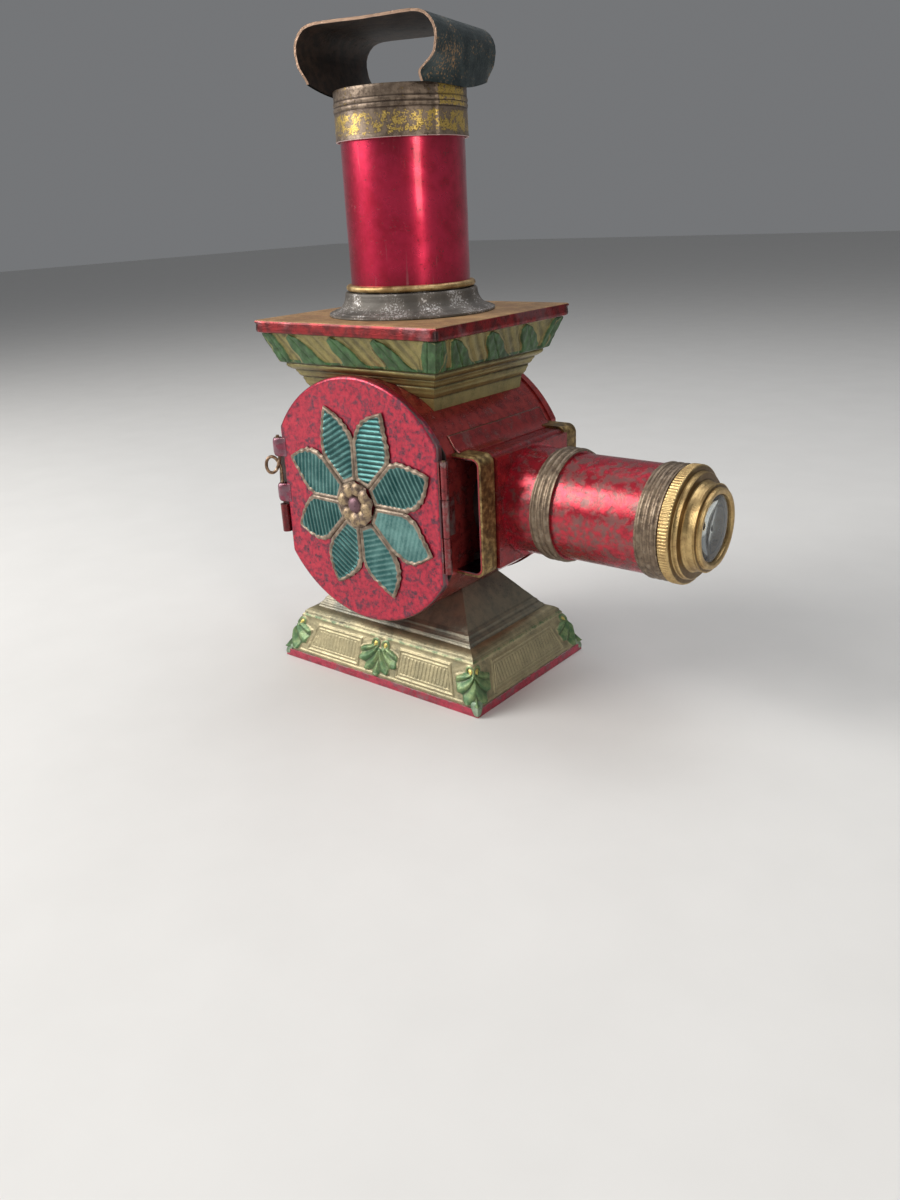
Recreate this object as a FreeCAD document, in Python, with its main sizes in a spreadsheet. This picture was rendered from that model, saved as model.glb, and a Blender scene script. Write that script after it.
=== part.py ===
"""Magic lantern: a small tinplate projector for painted glass slides, lit by an oil lamp.

Frame: millimetres, +Z up, +X along the beam, origin at the centre of the base underside.
The lamp house is a drum lying along Y, with its door on the -Y side.
"""
import FreeCAD, Part
import math
import os
import re
import Sketcher

doc = FreeCAD.newDocument("MagicLantern")
sizes = doc.addObject("Spreadsheet::Sheet", "Sizes")

DRIVING_SIZES = (
    # sheet metal and fits
    ("tin_sheet", 0.6, "thickness of the tinplate"),
    ("brass_sheet", 0.8, "thickness of the cowl strap"),
    ("joint_gap", 0.3, "gap between pieces that move past each other"),
    ("slide_fit", 0.1, "radial clearance of a sliding or turning fit"),
    ("solder_gap", 0.05, "gap between pieces soldered one round the other"),
    # base
    ("base_length", 102.0, "base along the beam"),
    ("base_width", 72.0, "base across the beam"),
    ("base_rim_height", 3.2, "folded-up rim of the base plate"),
    ("skirt_shoulder_inset", 6.3, "skirt face drawn in at its shoulder"),
    ("skirt_shoulder_height", 17.5, "height of the skirt shoulder"),
    ("skirt_shoulder_radius", 7.0, "rounding over the skirt shoulder"),
    ("skirt_top_inset", 11.0, "skirt drawn in at its top ledge"),
    ("skirt_height", 21.0, "height of the top ledge"),
    ("skirt_ledge", 2.5, "width of the top ledge under the saddle"),
    ("saddle_top_inset", 26.0, "saddle drawn in at its own top"),
    ("saddle_height", 40.0, "height of the saddle before it is cut to the drum"),
    # drum
    ("drum_foot_height", 29.0, "underside of the drum above the table"),
    ("drum_radius", 45.0, "outside of the drum"),
    ("drum_end", 3.0, "drum beyond each end of the slide stage"),
    ("drum_flat_margin", 0.96, "flat front of the drum above and below the slide stage"),
    ("flue_margin", 5.0, "smoke hole in the drum smaller than the chimney, in radius"),
    ("cap_rim", 2.5, "length of the rear cap's rim over the drum"),
    ("frame_rim", 5.0, "rim of the door frame above and below the lamp opening"),
    ("frame_side", 4.5, "lamp opening in from the sides of the door"),
    # door, hinge and bolt
    ("door_overhang", 0.8, "round top and foot of the door beyond the drum"),
    ("door_side_margin", 1.0, "straight sides of the door in from the flat of the drum"),
    ("door_depth", 2.6, "depth of the door pan"),
    ("hinge_pin_radius", 0.6, "hinge wire"),
    ("hinge_barrel_radius", 1.3, "outside of the hinge barrels"),
    ("hinge_offset", 1.6, "hinge axis beyond the side of the door"),
    ("hinge_height", 40.0, "length of the hinge"),
    ("hinge_leaf_sheet", 0.4, "thickness of the hinge leaves"),
    ("hinge_leaf_reach", 5.0, "drum leaf along the drum front"),
    ("bolt_wire_radius", 0.6, "wire of the door bolt"),
    ("barrel_radius", 1.8, "outside of the bolt barrels"),
    ("barrel_length", 7.0, "length of a bolt barrel"),
    ("barrel_tail", 4.0, "tail of a barrel over the door face"),
    ("barrel_set_back", 0.3, "bolt axis behind the door face"),
    ("upper_barrel_rise", 16.8, "upper barrel above the axis"),
    ("lower_barrel_drop", 1.1, "lower barrel below the axis"),
    ("keeper_drop", 11.5, "keeper below the axis"),
    ("keeper_length", 11.0, "length of the keeper"),
    ("bolt_end_length", 0.5, "bolt beyond its barrels"),
    ("bolt_ring_radius", 2.0, "centre line of the bolt's finger ring"),
    ("bolt_ring_rise", 8.0, "finger ring above the axis"),
    ("bolt_ring_angle", 225.0, "way the finger ring points, round Z"),
    # rosette on the door
    ("petal_count", 8, "petals of the rosette"),
    ("petal_tip_radius", 37.5, "petal tips from the middle"),
    ("petal_root_radius", 9.0, "petal roots from the middle"),
    ("petal_half_width", 8.6, "half width of a petal"),
    ("petal_thickness", 1.2, "relief of a petal"),
    ("boss_radius", 9.6, "rosette centre"),
    ("boss_sheet", 0.6, "disc under the beads"),
    ("dome_radius", 5.2, "dome in the rosette centre"),
    ("dome_height", 2.2, "height of the dome"),
    ("bead_radius", 1.6, "beads round the dome"),
    ("bead_circle_radius", 7.4, "circle of the beads"),
    # cornice and top plate
    ("cornice_length", 86.2, "top plate along the beam"),
    ("cornice_width", 79.0, "top plate across the beam"),
    ("cornice_rise", 19.0, "top plate above the top of the drum"),
    ("lip_height", 4.5, "folded-down lip of the top plate"),
    ("leaf_top_inset", 2.5, "cornice drawn in over its leaves"),
    ("leaf_top_drop", 5.2, "top of the leaf band below the plate"),
    ("leaf_foot_inset", 6.5, "cornice drawn in under its leaves"),
    ("leaf_foot_drop", 15.6, "foot of the leaf band below the plate"),
    ("moulding_inset", 10.4, "cornice drawn in at its moulding"),
    ("moulding_drop", 20.0, "moulding below the plate"),
    ("neck_inset", 13.2, "cornice drawn in at its neck"),
    ("neck_drop", 26.0, "neck below the plate"),
    ("cornice_foot_inset", 14.0, "cornice drawn in at its foot"),
    ("cornice_foot_drop", 33.0, "foot below the plate before it is cut to the drum"),
    # chimney
    ("chimney_radius", 22.0, "outside of the chimney"),
    ("chimney_length", 59.7, "chimney tube"),
    ("flange_reach", 8.3, "foot of the socket beyond the chimney"),
    ("flange_neck_reach", 1.8, "neck of the socket beyond the chimney"),
    ("flange_height", 8.0, "height of the chimney socket"),
    ("flange_curve_radius", 9.0, "hollow curve of the chimney socket"),
    ("spigot_length", 12.0, "spigot inside the chimney"),
    ("ring_height", 2.2, "bead ring at the foot of the chimney"),
    ("ring_relief", 0.9, "bead ring proud of the chimney before its rounding"),
    ("ring_round", 1.3, "rounding of the bead ring"),
    # cowl
    ("collar_play", 0.8, "collar loose round the chimney"),
    ("collar_height", 15.8, "height of the cowl collar"),
    ("collar_overlap", 11.2, "collar down over the chimney"),
    ("stop_width", 4.0, "stop ring in from the outside of the chimney"),
    ("strap_depth", 46.8, "cowl strap from mouth to mouth"),
    ("strap_bulge", 2.6, "cowl strap beyond the collar at its widest"),
    ("strap_shoulder", 9.0, "rounding of the strap's shoulders"),
    ("strap_rise", 19.2, "top of the strap above the collar"),
    ("strap_overlap", 3.0, "strap legs down over the collar"),
    ("cowl_turn", 13.4, "way the cowl is left turned, round Z"),
    # slide stage
    ("stage_depth", 11.2, "slide stage in front of the drum"),
    ("stage_margin", 1.5, "slide stage above and below the fixed tube"),
    ("stage_corner", 2.5, "rounding of the stage corners"),
    ("stage_window_radius", 17.0, "window for the beam in the stage front"),
    ("stage_band_width", 7.6, "bands at the ends of the stage"),
    ("stage_band_gap", 0.4, "stage bands clear of the raised plate"),
    ("stage_band_sheet", 0.8, "thickness of the stage bands"),
    ("spring_sheet", 0.4, "thickness of a slide spring"),
    ("spring_reach", 20.0, "half length of a slide spring"),
    ("spring_bow", 4.6, "bow of a slide spring"),
    ("spring_width", 2.6, "width of a slide spring"),
    ("spring_margin", 3.6, "slide springs in from the top and foot of the stage"),
    # condenser
    ("condenser_radius", 17.4, "condenser lens"),
    ("condenser_edge", 3.0, "edge thickness of the condenser"),
    ("condenser_bulge", 3.0, "bulge of each condenser face"),
    ("condenser_set_back", 0.5, "condenser centre behind the drum flat"),
    ("cell_wall", 1.65, "wall of the condenser cell"),
    ("cell_lip", 0.6, "lips of the lens cells"),
    # lens tubes
    ("lens_box_sheet", 1.8, "raised plate on the stage front"),
    ("lens_box_side", 2.9, "raised plate to each side of the fixed tube"),
    ("lens_box_margin", 0.8, "raised plate short of the stage's top and foot"),
    ("fixed_tube_radius", 19.1, "outside of the fixed tube"),
    ("fixed_tube_length", 18.8, "fixed tube"),
    ("tube_sheet", 0.5, "thickness of the lens tubes"),
    ("tube_flange_reach", 1.1, "foot of the fixed tube beyond it"),
    ("tube_band_width", 7.8, "ribbed bands of the lens tubes"),
    ("tube_band_sheet", 0.45, "thickness of the ribbed bands"),
    ("rib_count", 3, "ribs of a band"),
    ("rib_width", 1.8, "width of a rib"),
    ("rib_round", 1.1, "rounding of a rib"),
    ("draw_tube_gap", 7.3, "inner end of the draw tube in front of the stage"),
    ("draw_tube_length", 52.6, "draw tube"),
    ("stop_distance", 26.0, "light stop from the inner end of the draw tube"),
    ("stop_radius", 9.0, "hole of the light stop"),
    ("stop_rim", 4.0, "rim of the light stop"),
    ("rear_lens_play", 1.7, "rear lens smaller than the fixed tube, in radius"),
    ("rear_lens_edge", 2.5, "edge thickness of the rear lens"),
    ("rear_lens_bulge", 2.5, "bulge of each rear lens face"),
    ("rear_cell_length", 6.2, "cell of the rear lens"),
    # lens head
    ("head_spigot_length", 7.1, "spigot of the lens head in the draw tube"),
    ("head_flange_reach", 0.6, "knurled flange beyond the fixed tube, in radius"),
    ("head_flange_length", 3.9, "knurled flange along the beam"),
    ("head_step_depth", 2.2, "first step in from the knurled flange"),
    ("head_step_length", 2.0, "first step along the beam"),
    ("head_neck_depth", 3.0, "neck in from the first step"),
    ("head_neck_length", 4.4, "neck along the beam"),
    ("head_rim_depth", 1.3, "front rim in from the neck"),
    ("head_rim_length", 1.4, "front rim along the beam"),
    ("head_bevel", 0.5, "bevels between the steps of the head"),
    ("head_wall", 0.7, "wall of the front rim round the lens"),
    ("head_lens_hold", 1.5, "front rim over the edge of the lens"),
    ("head_lip", 1.0, "lip in front of the lens"),
    ("head_web", 1.9, "web between the spigot and the bore"),
    ("front_lens_edge", 2.2, "edge thickness of the front lens"),
    ("front_lens_bulge", 1.3, "bulge of each front lens face"),
    ("lens_ring_length", 1.2, "rings that hold the lenses"),
    # lamp
    ("lamp_floor_rise", 8.0, "lamp floor above the foot of the drum"),
    ("lamp_floor_end", 2.0, "lamp floor short of each end of the drum"),
    ("rail_height", 3.4, "lamp rails"),
    ("rail_length", 40.0, "lamp rails across the beam"),
    ("font_radius", 17.0, "oil font"),
    ("font_height", 16.0, "oil font"),
    ("font_mouth_radius", 6.5, "mouth of the oil font"),
    ("burner_radius", 8.5, "burner"),
    ("burner_height", 6.6, "burner"),
    ("wick_thickness", 1.4, "flat wick"),
    ("wick_width", 9.4, "flat wick"),
    ("wick_length", 21.5, "wick"),
    ("wick_stand", 1.5, "wick above its tube"),
    ("wick_tube_height", 5.4, "wick tube above the burner's underside"),
    ("gallery_radius", 11.4, "gallery that holds the lamp glass"),
    ("gallery_opening_radius", 6.4, "opening of the gallery"),
    ("gallery_height", 4.0, "gallery"),
    ("glass_wall", 0.9, "lamp glass"),
    ("glass_foot_height", 5.2, "straight foot of the lamp glass"),
    ("glass_bulb_height", 20.0, "bulb of the lamp glass"),
    ("glass_bulb_round", 16.0, "rounding of the bulb"),
    ("glass_neck_radius", 8.7, "neck of the lamp glass"),
    ("glass_top_radius", 8.0, "top of the lamp glass"),
    ("glass_height", 45.2, "lamp glass"),
    ("reflector_radius", 19.5, "reflector rim"),
    ("reflector_depth", 4.0, "hollow of the reflector"),
    ("reflector_distance", 26.0, "middle of the reflector behind the flame"),
    ("bracket_half_width", 4.0, "reflector bracket"),
    ("bracket_end", 11.0, "bracket foot from the lamp axis"),
    ("bracket_tab", 1.9, "tab that holds the reflector"),
    ("spur_radius", 1.9, "spur wheels of the wick winder"),
    ("spur_width", 1.2, "spur wheels of the wick winder"),
    ("spur_offset", 2.5, "spur wheels from the middle of the wick"),
    ("winder_radius", 0.8, "shaft of the wick winder"),
    ("winder_rise", 3.4, "winder shaft above the font"),
    ("winder_reach", 24.0, "winder shaft towards the door"),
    ("winder_tail", 10.0, "winder shaft away from the door"),
    ("knob_radius", 4.5, "winder knob"),
    ("knob_width", 2.0, "winder knob"),
)

# Sizes that follow from the driving ones, so that neighbours keep their fit.
FOLLOWING_SIZES = (
    ("axis_height", "drum_foot_height + drum_radius", "height of the drum and lens axes"),
    ("cornice_top", "axis_height + drum_radius + cornice_rise", "height of the top plate"),
    ("stage_half_height", "fixed_tube_radius + stage_margin", "slide stage above and below the axis"),
    ("spring_offset", "stage_half_height - spring_margin", "slide spring above or below the axis"),
    ("lens_box_half_width", "fixed_tube_radius + lens_box_side", "half width of the raised plate"),
    ("stage_length", "2 * (lens_box_half_width + stage_band_gap + stage_band_width)", "slide stage across the beam"),
    ("drum_length", "stage_length + 2 * drum_end", "drum from end to end"),
    ("drum_flat", "sqrt(drum_radius ^ 2 - (stage_half_height + drum_flat_margin) ^ 2)", "flat front from the drum axis"),
    ("drum_flue_radius", "chimney_radius - flue_margin", "hole for the smoke in the top of the drum"),
    ("door_radius", "drum_radius + door_overhang", "round top and foot of the door"),
    ("door_flat", "drum_flat - door_side_margin", "straight sides of the door from the axis"),
    ("frame_opening_radius", "drum_radius - frame_rim", "lamp opening behind the door"),
    ("frame_opening_flat", "door_flat - frame_side", "flat sides of the lamp opening from the axis"),
    ("flange_radius", "chimney_radius + flange_reach", "foot of the chimney socket"),
    ("flange_neck_radius", "chimney_radius + flange_neck_reach", "neck of the chimney socket"),
    ("collar_radius", "chimney_radius + collar_play + tin_sheet", "outside of the cowl collar"),
    ("stop_opening_radius", "chimney_radius - stop_width", "opening of the stop ring in the collar"),
    ("strap_half_width", "collar_radius + strap_bulge", "widest half width of the cowl strap"),
    ("tube_flange_radius", "fixed_tube_radius + tube_flange_reach", "foot of the fixed tube"),
    ("draw_tube_start", "drum_flat + stage_depth + draw_tube_gap", "inner end of the draw tube from the drum axis"),
    ("rear_lens_radius", "fixed_tube_radius - rear_lens_play", "rear lens in the draw tube"),
    ("head_flange_radius", "fixed_tube_radius + head_flange_reach", "knurled flange of the lens head"),
    ("head_step_radius", "head_flange_radius - head_step_depth", "first step of the lens head"),
    ("head_neck_radius", "head_step_radius - head_neck_depth", "neck of the lens head"),
    ("head_rim_radius", "head_neck_radius - head_rim_depth", "front rim of the lens head"),
    ("head_bore_radius", "head_rim_radius - head_wall", "bore for the front lens"),
    ("head_aperture_radius", "head_bore_radius - head_lens_hold", "opening of the front rim"),
    ("lamp_floor_drop", "drum_radius - lamp_floor_rise", "lamp floor below the axis"),
    ("lamp_floor_length", "drum_length - 2 * lamp_floor_end", "lamp floor across the beam"),
)

for row, (name, value, note) in enumerate(DRIVING_SIZES + FOLLOWING_SIZES, start=2):
    sizes.set(f"A{row}", name)
    sizes.set(f"B{row}", f"={value}")
    sizes.setAlias(f"B{row}", name)
    sizes.set(f"C{row}", note)
doc.recompute()

SIZE_NAMES = {name for name, _, _ in DRIVING_SIZES + FOLLOWING_SIZES}
WORD = re.compile(r"[A-Za-z_][A-Za-z0-9_]*")

# Places that several pieces share, as sums of driving sizes.
FRAME_FACE = "-(drum_length / 2 + tin_sheet)"
DOOR_BACK = f"({FRAME_FACE} - joint_gap)"
DOOR_FACE = f"({DOOR_BACK} - door_depth)"
HINGE_X = "(door_flat + hinge_offset)"
HINGE_Y = f"({DOOR_BACK} - door_depth / 2)"
BOLT_X = "(-(door_flat + joint_gap + barrel_radius))"
BOLT_Y = f"({DOOR_FACE} + barrel_set_back)"
UPPER_BARREL_FOOT = "(axis_height + upper_barrel_rise - barrel_length / 2)"
LOWER_BARREL_FOOT = "(axis_height - lower_barrel_drop - barrel_length / 2)"
SADDLE_CUT_RADIUS = "(drum_radius + solder_gap)"
CHIMNEY_FOOT = "(cornice_top + flange_height + joint_gap)"
CHIMNEY_HEAD = f"({CHIMNEY_FOOT} + chimney_length)"
SPIGOT_RADIUS = "(chimney_radius - tin_sheet - slide_fit)"
COLLAR_FOOT = f"({CHIMNEY_HEAD} - collar_overlap)"
COLLAR_HEAD = f"({COLLAR_FOOT} + collar_height)"
STRAP_TOP = f"({COLLAR_HEAD} + strap_rise)"
STAGE_FRONT = "(drum_flat + stage_depth)"
LENS_BOX_FRONT = f"({STAGE_FRONT} + solder_gap + lens_box_sheet)"
FIXED_TUBE_END = f"({LENS_BOX_FRONT} + fixed_tube_length)"
FIXED_TUBE_BORE = "(fixed_tube_radius - tube_sheet)"
DRAW_TUBE_RADIUS = f"({FIXED_TUBE_BORE} - slide_fit)"
DRAW_TUBE_BORE = f"({DRAW_TUBE_RADIUS} - tube_sheet)"
DRAW_TUBE_END = "(draw_tube_start + draw_tube_length)"
REAR_CELL_START = "(draw_tube_start + cell_lip)"
REAR_LENS_CENTRE = f"({REAR_CELL_START} + 2 * cell_lip + rear_lens_edge / 2)"
HEAD_BACK = f"({DRAW_TUBE_END} + joint_gap + slide_fit)"
HEAD_STEP = f"({HEAD_BACK} + head_flange_length)"
HEAD_NECK = f"({HEAD_STEP} + head_step_length)"
HEAD_RIM = f"({HEAD_NECK} + head_neck_length)"
HEAD_FRONT = f"({HEAD_RIM} + head_rim_length)"
FRONT_LENS_FACE = f"({HEAD_FRONT} - head_lip - joint_gap)"
CONDENSER_CENTRE = "(drum_flat - condenser_set_back)"
CELL_RADIUS = "(condenser_radius + solder_gap + cell_wall)"
FLOOR_TOP = "(axis_height - lamp_floor_drop + tin_sheet)"
FONT_TOP = f"({FLOOR_TOP} + font_height)"
BURNER_TOP = f"({FONT_TOP} + burner_height)"
WICK_TUBE_FOOT = f"({BURNER_TOP} - tin_sheet)"
GLASS_FOOT = f"({BURNER_TOP} + tin_sheet + solder_gap)"
WINDER_X = "(wick_thickness / 2 + joint_gap + spur_radius)"
WINDER_Z = f"({FONT_TOP} + winder_rise)"


def linked(text):
    """The expression in text, with each size name pointing at the sheet."""
    return WORD.sub(lambda word: "Sizes." + word.group() if word.group() in SIZE_NAMES else word.group(), text)


def number(text):
    """Present value of an expression, in millimetres or degrees."""
    value = sizes.evalExpression(linked(text))
    return float(getattr(value, "Value", value))


def bind(item, **properties):
    """Tie properties of an object to expressions. Dots are written as double underscores."""
    for name, text in properties.items():
        item.setExpression(name.replace("__", "."), linked(text))


# ---------------------------------------------------------------- sketches

def arc_between(start, end, radius):
    """The shorter arc from start to end. A negative radius turns clockwise."""
    chord = end - start
    middle = (start + end) * 0.5
    rise = math.sqrt(max(radius * radius - chord.Length ** 2 / 4, 0.0))
    left = FreeCAD.Vector(-chord.y, chord.x, 0).normalize()
    centre = middle + left * math.copysign(rise, radius)
    circle = Part.Circle(centre, FreeCAD.Vector(0, 0, 1), abs(radius))
    first, last = (start, end) if radius > 0 else (end, start)
    angles = [math.atan2(point.y - centre.y, point.x - centre.x) for point in (first, last)]
    return Part.ArcOfCircle(circle, angles[0], angles[1])


def fix_coordinate(sketch, kind, axis, geometry, vertex, text):
    """Hold one coordinate of a vertex at the value of an expression."""
    if text == "0":
        sketch.addConstraint(Sketcher.Constraint("PointOnObject", geometry, vertex, axis))
        return
    index = sketch.addConstraint(Sketcher.Constraint(kind, -1, 1, geometry, vertex, number(text)))
    sketch.setExpression(f"Constraints[{index}]", linked(text))


def draw_outline(sketch, points):
    """Closed outline. Each point is (x, y) or (x, y, radius of the arc that leads to it)."""
    places = [FreeCAD.Vector(number(point[0]), number(point[1]), 0) for point in points]
    first_geometry = sketch.GeometryCount
    ends = []
    for index, point in enumerate(points):
        start, end = places[index - 1], places[index]
        geometry = first_geometry + index
        if len(point) == 2:
            sketch.addGeometry(Part.LineSegment(start, end))
            ends.append((1, 2))
            continue
        radius = number(point[2])
        sketch.addGeometry(arc_between(start, end, radius))
        ends.append((1, 2) if radius > 0 else (2, 1))
        magnitude = point[2] if radius > 0 else f"-({point[2]})"
        limit = sketch.addConstraint(Sketcher.Constraint("Radius", geometry, abs(radius)))
        sketch.setExpression(f"Constraints[{limit}]", linked(magnitude))
    for index, point in enumerate(points):
        geometry = first_geometry + index
        following = (index + 1) % len(points)
        sketch.addConstraint(Sketcher.Constraint(
            "Coincident", geometry, ends[index][1], first_geometry + following, ends[following][0]))
        fix_coordinate(sketch, "DistanceX", -2, geometry, ends[index][1], point[0])
        fix_coordinate(sketch, "DistanceY", -1, geometry, ends[index][1], point[1])


def draw_circle(sketch, x, y, radius):
    """Circle at a place given by expressions."""
    centre = FreeCAD.Vector(number(x), number(y), 0)
    geometry = sketch.addGeometry(Part.Circle(centre, FreeCAD.Vector(0, 0, 1), number(radius)))
    index = sketch.addConstraint(Sketcher.Constraint("Radius", geometry, number(radius)))
    sketch.setExpression(f"Constraints[{index}]", linked(radius))
    fix_coordinate(sketch, "DistanceX", -2, geometry, 3, x)
    fix_coordinate(sketch, "DistanceY", -1, geometry, 3, y)


def rectangle(left, bottom, right, top):
    """Corners of a rectangle, in order."""
    return [(right, bottom), (right, top), (left, top), (left, bottom)]


def centred_rectangle(half_width, half_height):
    """Corners of a rectangle about the origin, in order."""
    return rectangle(f"-({half_width})", f"-({half_height})", half_width, half_height)


def flat_fronted(radius, flat):
    """Circle with a straight side at x = flat."""
    half_side = f"sqrt(({radius})^2 - ({flat})^2)"
    return [(flat, half_side), ("0", radius, radius), (f"-({radius})", "0", radius),
            ("0", f"-({radius})", radius), (flat, f"-{half_side}", radius)]


def flat_sided(radius, flat):
    """Circle with straight sides at x = flat and x = -flat."""
    half_side = f"sqrt(({radius})^2 - ({flat})^2)"
    return [(flat, half_side), ("0", radius, radius), (f"-({flat})", half_side, radius),
            (f"-({flat})", f"-{half_side}"), ("0", f"-({radius})", radius), (flat, f"-{half_side}", radius)]


# ------------------------------------------------------- pieces and features

sub_parts = []
cuts = []
# The way each origin plane faces along its world axis.
PLANE_SIGN = {"XY_Plane": 1, "XZ_Plane": -1, "YZ_Plane": 1}


def sub_part(item, label):
    """Name an object as one finished piece of the lantern."""
    item.Label = label
    sub_parts.append(item)
    return item


def new_body(label, raised="0"):
    """Empty body whose origin stands at a height given by an expression."""
    body = doc.addObject("PartDesign::Body", label)
    if raised != "0":
        bind(body, Placement__Base__z=raised)
    return sub_part(body, label)


def origin_feature(body, role):
    """Origin plane or axis of a body, by its role."""
    return next(item for item in body.Origin.OriginFeatures if item.Role == role)


def new_sketch(body, plane, start="0"):
    """Sketch on an origin plane of the body, moved to start along the plane's world axis."""
    sketch = body.newObject("Sketcher::SketchObject", f"{body.Name}_sketch")
    sketch.AttachmentSupport = (origin_feature(body, plane), "")
    sketch.MapMode = "FlatFace"
    if start != "0":
        sign = "" if PLANE_SIGN[plane] > 0 else "-"
        bind(sketch, AttachmentOffset__Base__z=f"{sign}({start})")
    return sketch


def extrude(body, sketch, plane, length, kind):
    """Pad or pocket a sketch towards the positive end of its world axis."""
    feature = body.newObject(f"PartDesign::{kind}", f"{body.Name}_{kind.lower()}")
    feature.Profile = sketch
    feature.Reversed = (PLANE_SIGN[plane] < 0) == (kind == "Pad")
    bind(feature, Length=length)
    sketch.Visibility = False
    if kind == "Pocket":
        cuts.append(feature)
    return feature


def pad(body, plane, start, length, points):
    """Add a slab with this outline, from start along the plane's world axis."""
    sketch = new_sketch(body, plane, start)
    draw_outline(sketch, points)
    return extrude(body, sketch, plane, length, "Pad")


def pocket(body, plane, start, length, points):
    """Cut a slab with this outline, from start along the plane's world axis."""
    sketch = new_sketch(body, plane, start)
    draw_outline(sketch, points)
    return extrude(body, sketch, plane, length, "Pocket")


def bore(body, plane, start, length, x, y, radius):
    """Cut a round hole, from start along the plane's world axis."""
    sketch = new_sketch(body, plane, start)
    draw_circle(sketch, x, y, radius)
    return extrude(body, sketch, plane, length, "Pocket")


def turned(label, axis, points, raised="0"):
    """Piece turned about the Z axis, from (radius, z), or about the X axis, from (x, radius)."""
    body = new_body(label, raised)
    sketch = new_sketch(body, "XZ_Plane")
    draw_outline(sketch, points)
    feature = body.newObject("PartDesign::Revolution", f"{label}_turning")
    feature.Profile = sketch
    feature.ReferenceAxis = (origin_feature(body, f"{axis}_Axis"), [""])
    feature.Angle = 360
    sketch.Visibility = False
    return body


def round_bar(label, x, y, z, radius, length):
    """Upright Part cylinder with its foot at a place given by expressions."""
    bar = doc.addObject("Part::Cylinder", label)
    bind(bar, Radius=radius, Height=length, Placement__Base__x=x, Placement__Base__y=y, Placement__Base__z=z)
    return bar


def block(label, x, y, z, length, width, height):
    """Part box with its lowest corner at a place given by expressions."""
    box = doc.addObject("Part::Box", label)
    bind(box, Length=length, Width=width, Height=height,
         Placement__Base__x=x, Placement__Base__y=y, Placement__Base__z=z)
    return box


def cut(label, base, tool):
    """Base with tool taken away."""
    result = doc.addObject("Part::Cut", label)
    result.Base = base
    result.Tool = tool
    return result


def fuse(label, shapes):
    """Several shapes as one."""
    result = doc.addObject("Part::MultiFuse", label)
    result.Shapes = shapes
    return result


# --------------------------------------------- square mouldings with mitred corners

def mirrored_profile(half_length, steps):
    """Closed profile of a moulding: its steps up the right side and down the left side."""
    right = [(f"({half_length}) - ({inset})", height, *round_) for inset, height, *round_ in steps]
    left = []
    for index in range(len(steps) - 1, -1, -1):
        inset, height = steps[index][:2]
        round_ = steps[index + 1][2:] if index + 1 < len(steps) else ()
        left.append((f"-(({half_length}) - ({inset}))", height, *round_))
    return right + left


def mitred_solid(label, length, width, steps):
    """Solid with the same stepped sides all round and mitred corners."""
    runs = []
    directions = (("long", length, width, (1, 0, 0), (0, 1, 0)), ("cross", width, length, (0, 1, 0), (1, 0, 0)))
    for tag, across, along, side_axis, run_axis in directions:
        sketch = doc.addObject("Sketcher::SketchObject", f"{label}_{tag}_profile")
        sketch.Placement = FreeCAD.Placement(
            FreeCAD.Vector(0, 0, 0),
            FreeCAD.Rotation(FreeCAD.Vector(*side_axis), FreeCAD.Vector(0, 0, 1), FreeCAD.Vector(0, 0, 0), "XYZ"))
        draw_outline(sketch, mirrored_profile(f"{across} / 2", steps))
        run = doc.addObject("Part::Extrusion", f"{label}_{tag}_run")
        run.Base = sketch
        run.DirMode = "Custom"
        run.Dir = FreeCAD.Vector(*run_axis)
        run.Symmetric = True
        run.Solid = True
        bind(run, LengthFwd=along)
        runs.append(run)
    solid = doc.addObject("Part::Common", label)
    solid.Base, solid.Tool = runs
    return solid


def mitred_shell(label, length, width, steps, sheet_shift):
    """Sheet-metal moulding: the stepped solid less the same solid one sheet further in."""
    inner_steps = [(f"{inset} + tin_sheet", f"{height} {sheet_shift} tin_sheet", *round_)
                   for inset, height, *round_ in steps]
    outer = mitred_solid(f"{label}_outside", length, width, steps)
    inner = mitred_solid(f"{label}_inside", length, width, inner_steps)
    return cut(f"{label}_sheet", outer, inner)


def drum_tool(label):
    """Solid cylinder along Y that trims a moulding to the drum."""
    tool = doc.addObject("Part::Cylinder", label)
    tool.Placement.Rotation = FreeCAD.Rotation(FreeCAD.Vector(1, 0, 0), -90)
    bind(tool, Radius=SADDLE_CUT_RADIUS, Height="2 * drum_length",
         Placement__Base__y="-drum_length", Placement__Base__z="axis_height")
    return tool


# --------------------------------------------------------------------- base

def base_plate():
    """Bottom tray: a sheet with its four edges folded up."""
    body = new_body("base_plate")
    pad(body, "XY_Plane", "0", "base_rim_height", centred_rectangle("base_length / 2", "base_width / 2"))
    inside = centred_rectangle("base_length / 2 - tin_sheet", "base_width / 2 - tin_sheet")
    pocket(body, "XY_Plane", "tin_sheet", "base_rim_height", inside)


def base_skirt():
    """Embossed skirt that stands in the tray and carries a ledge for the saddle."""
    edge = "tin_sheet + solder_gap"
    steps = (
        (edge, edge),
        (edge, "base_rim_height"),
        ("skirt_shoulder_inset", "skirt_shoulder_height"),
        ("skirt_top_inset", "skirt_height", "skirt_shoulder_radius"),
    )
    sheet = mitred_shell("base_skirt", "base_length", "base_width", steps, "-")
    opening_inset = "(skirt_top_inset + skirt_ledge)"
    opening = block("base_skirt_opening", f"-(base_length / 2 - {opening_inset})",
                    f"-(base_width / 2 - {opening_inset})", "skirt_shoulder_height",
                    f"base_length - 2 * {opening_inset}", f"base_width - 2 * {opening_inset}", "skirt_height")
    sub_part(cut("base_skirt", sheet, opening), "base_skirt")


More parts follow.
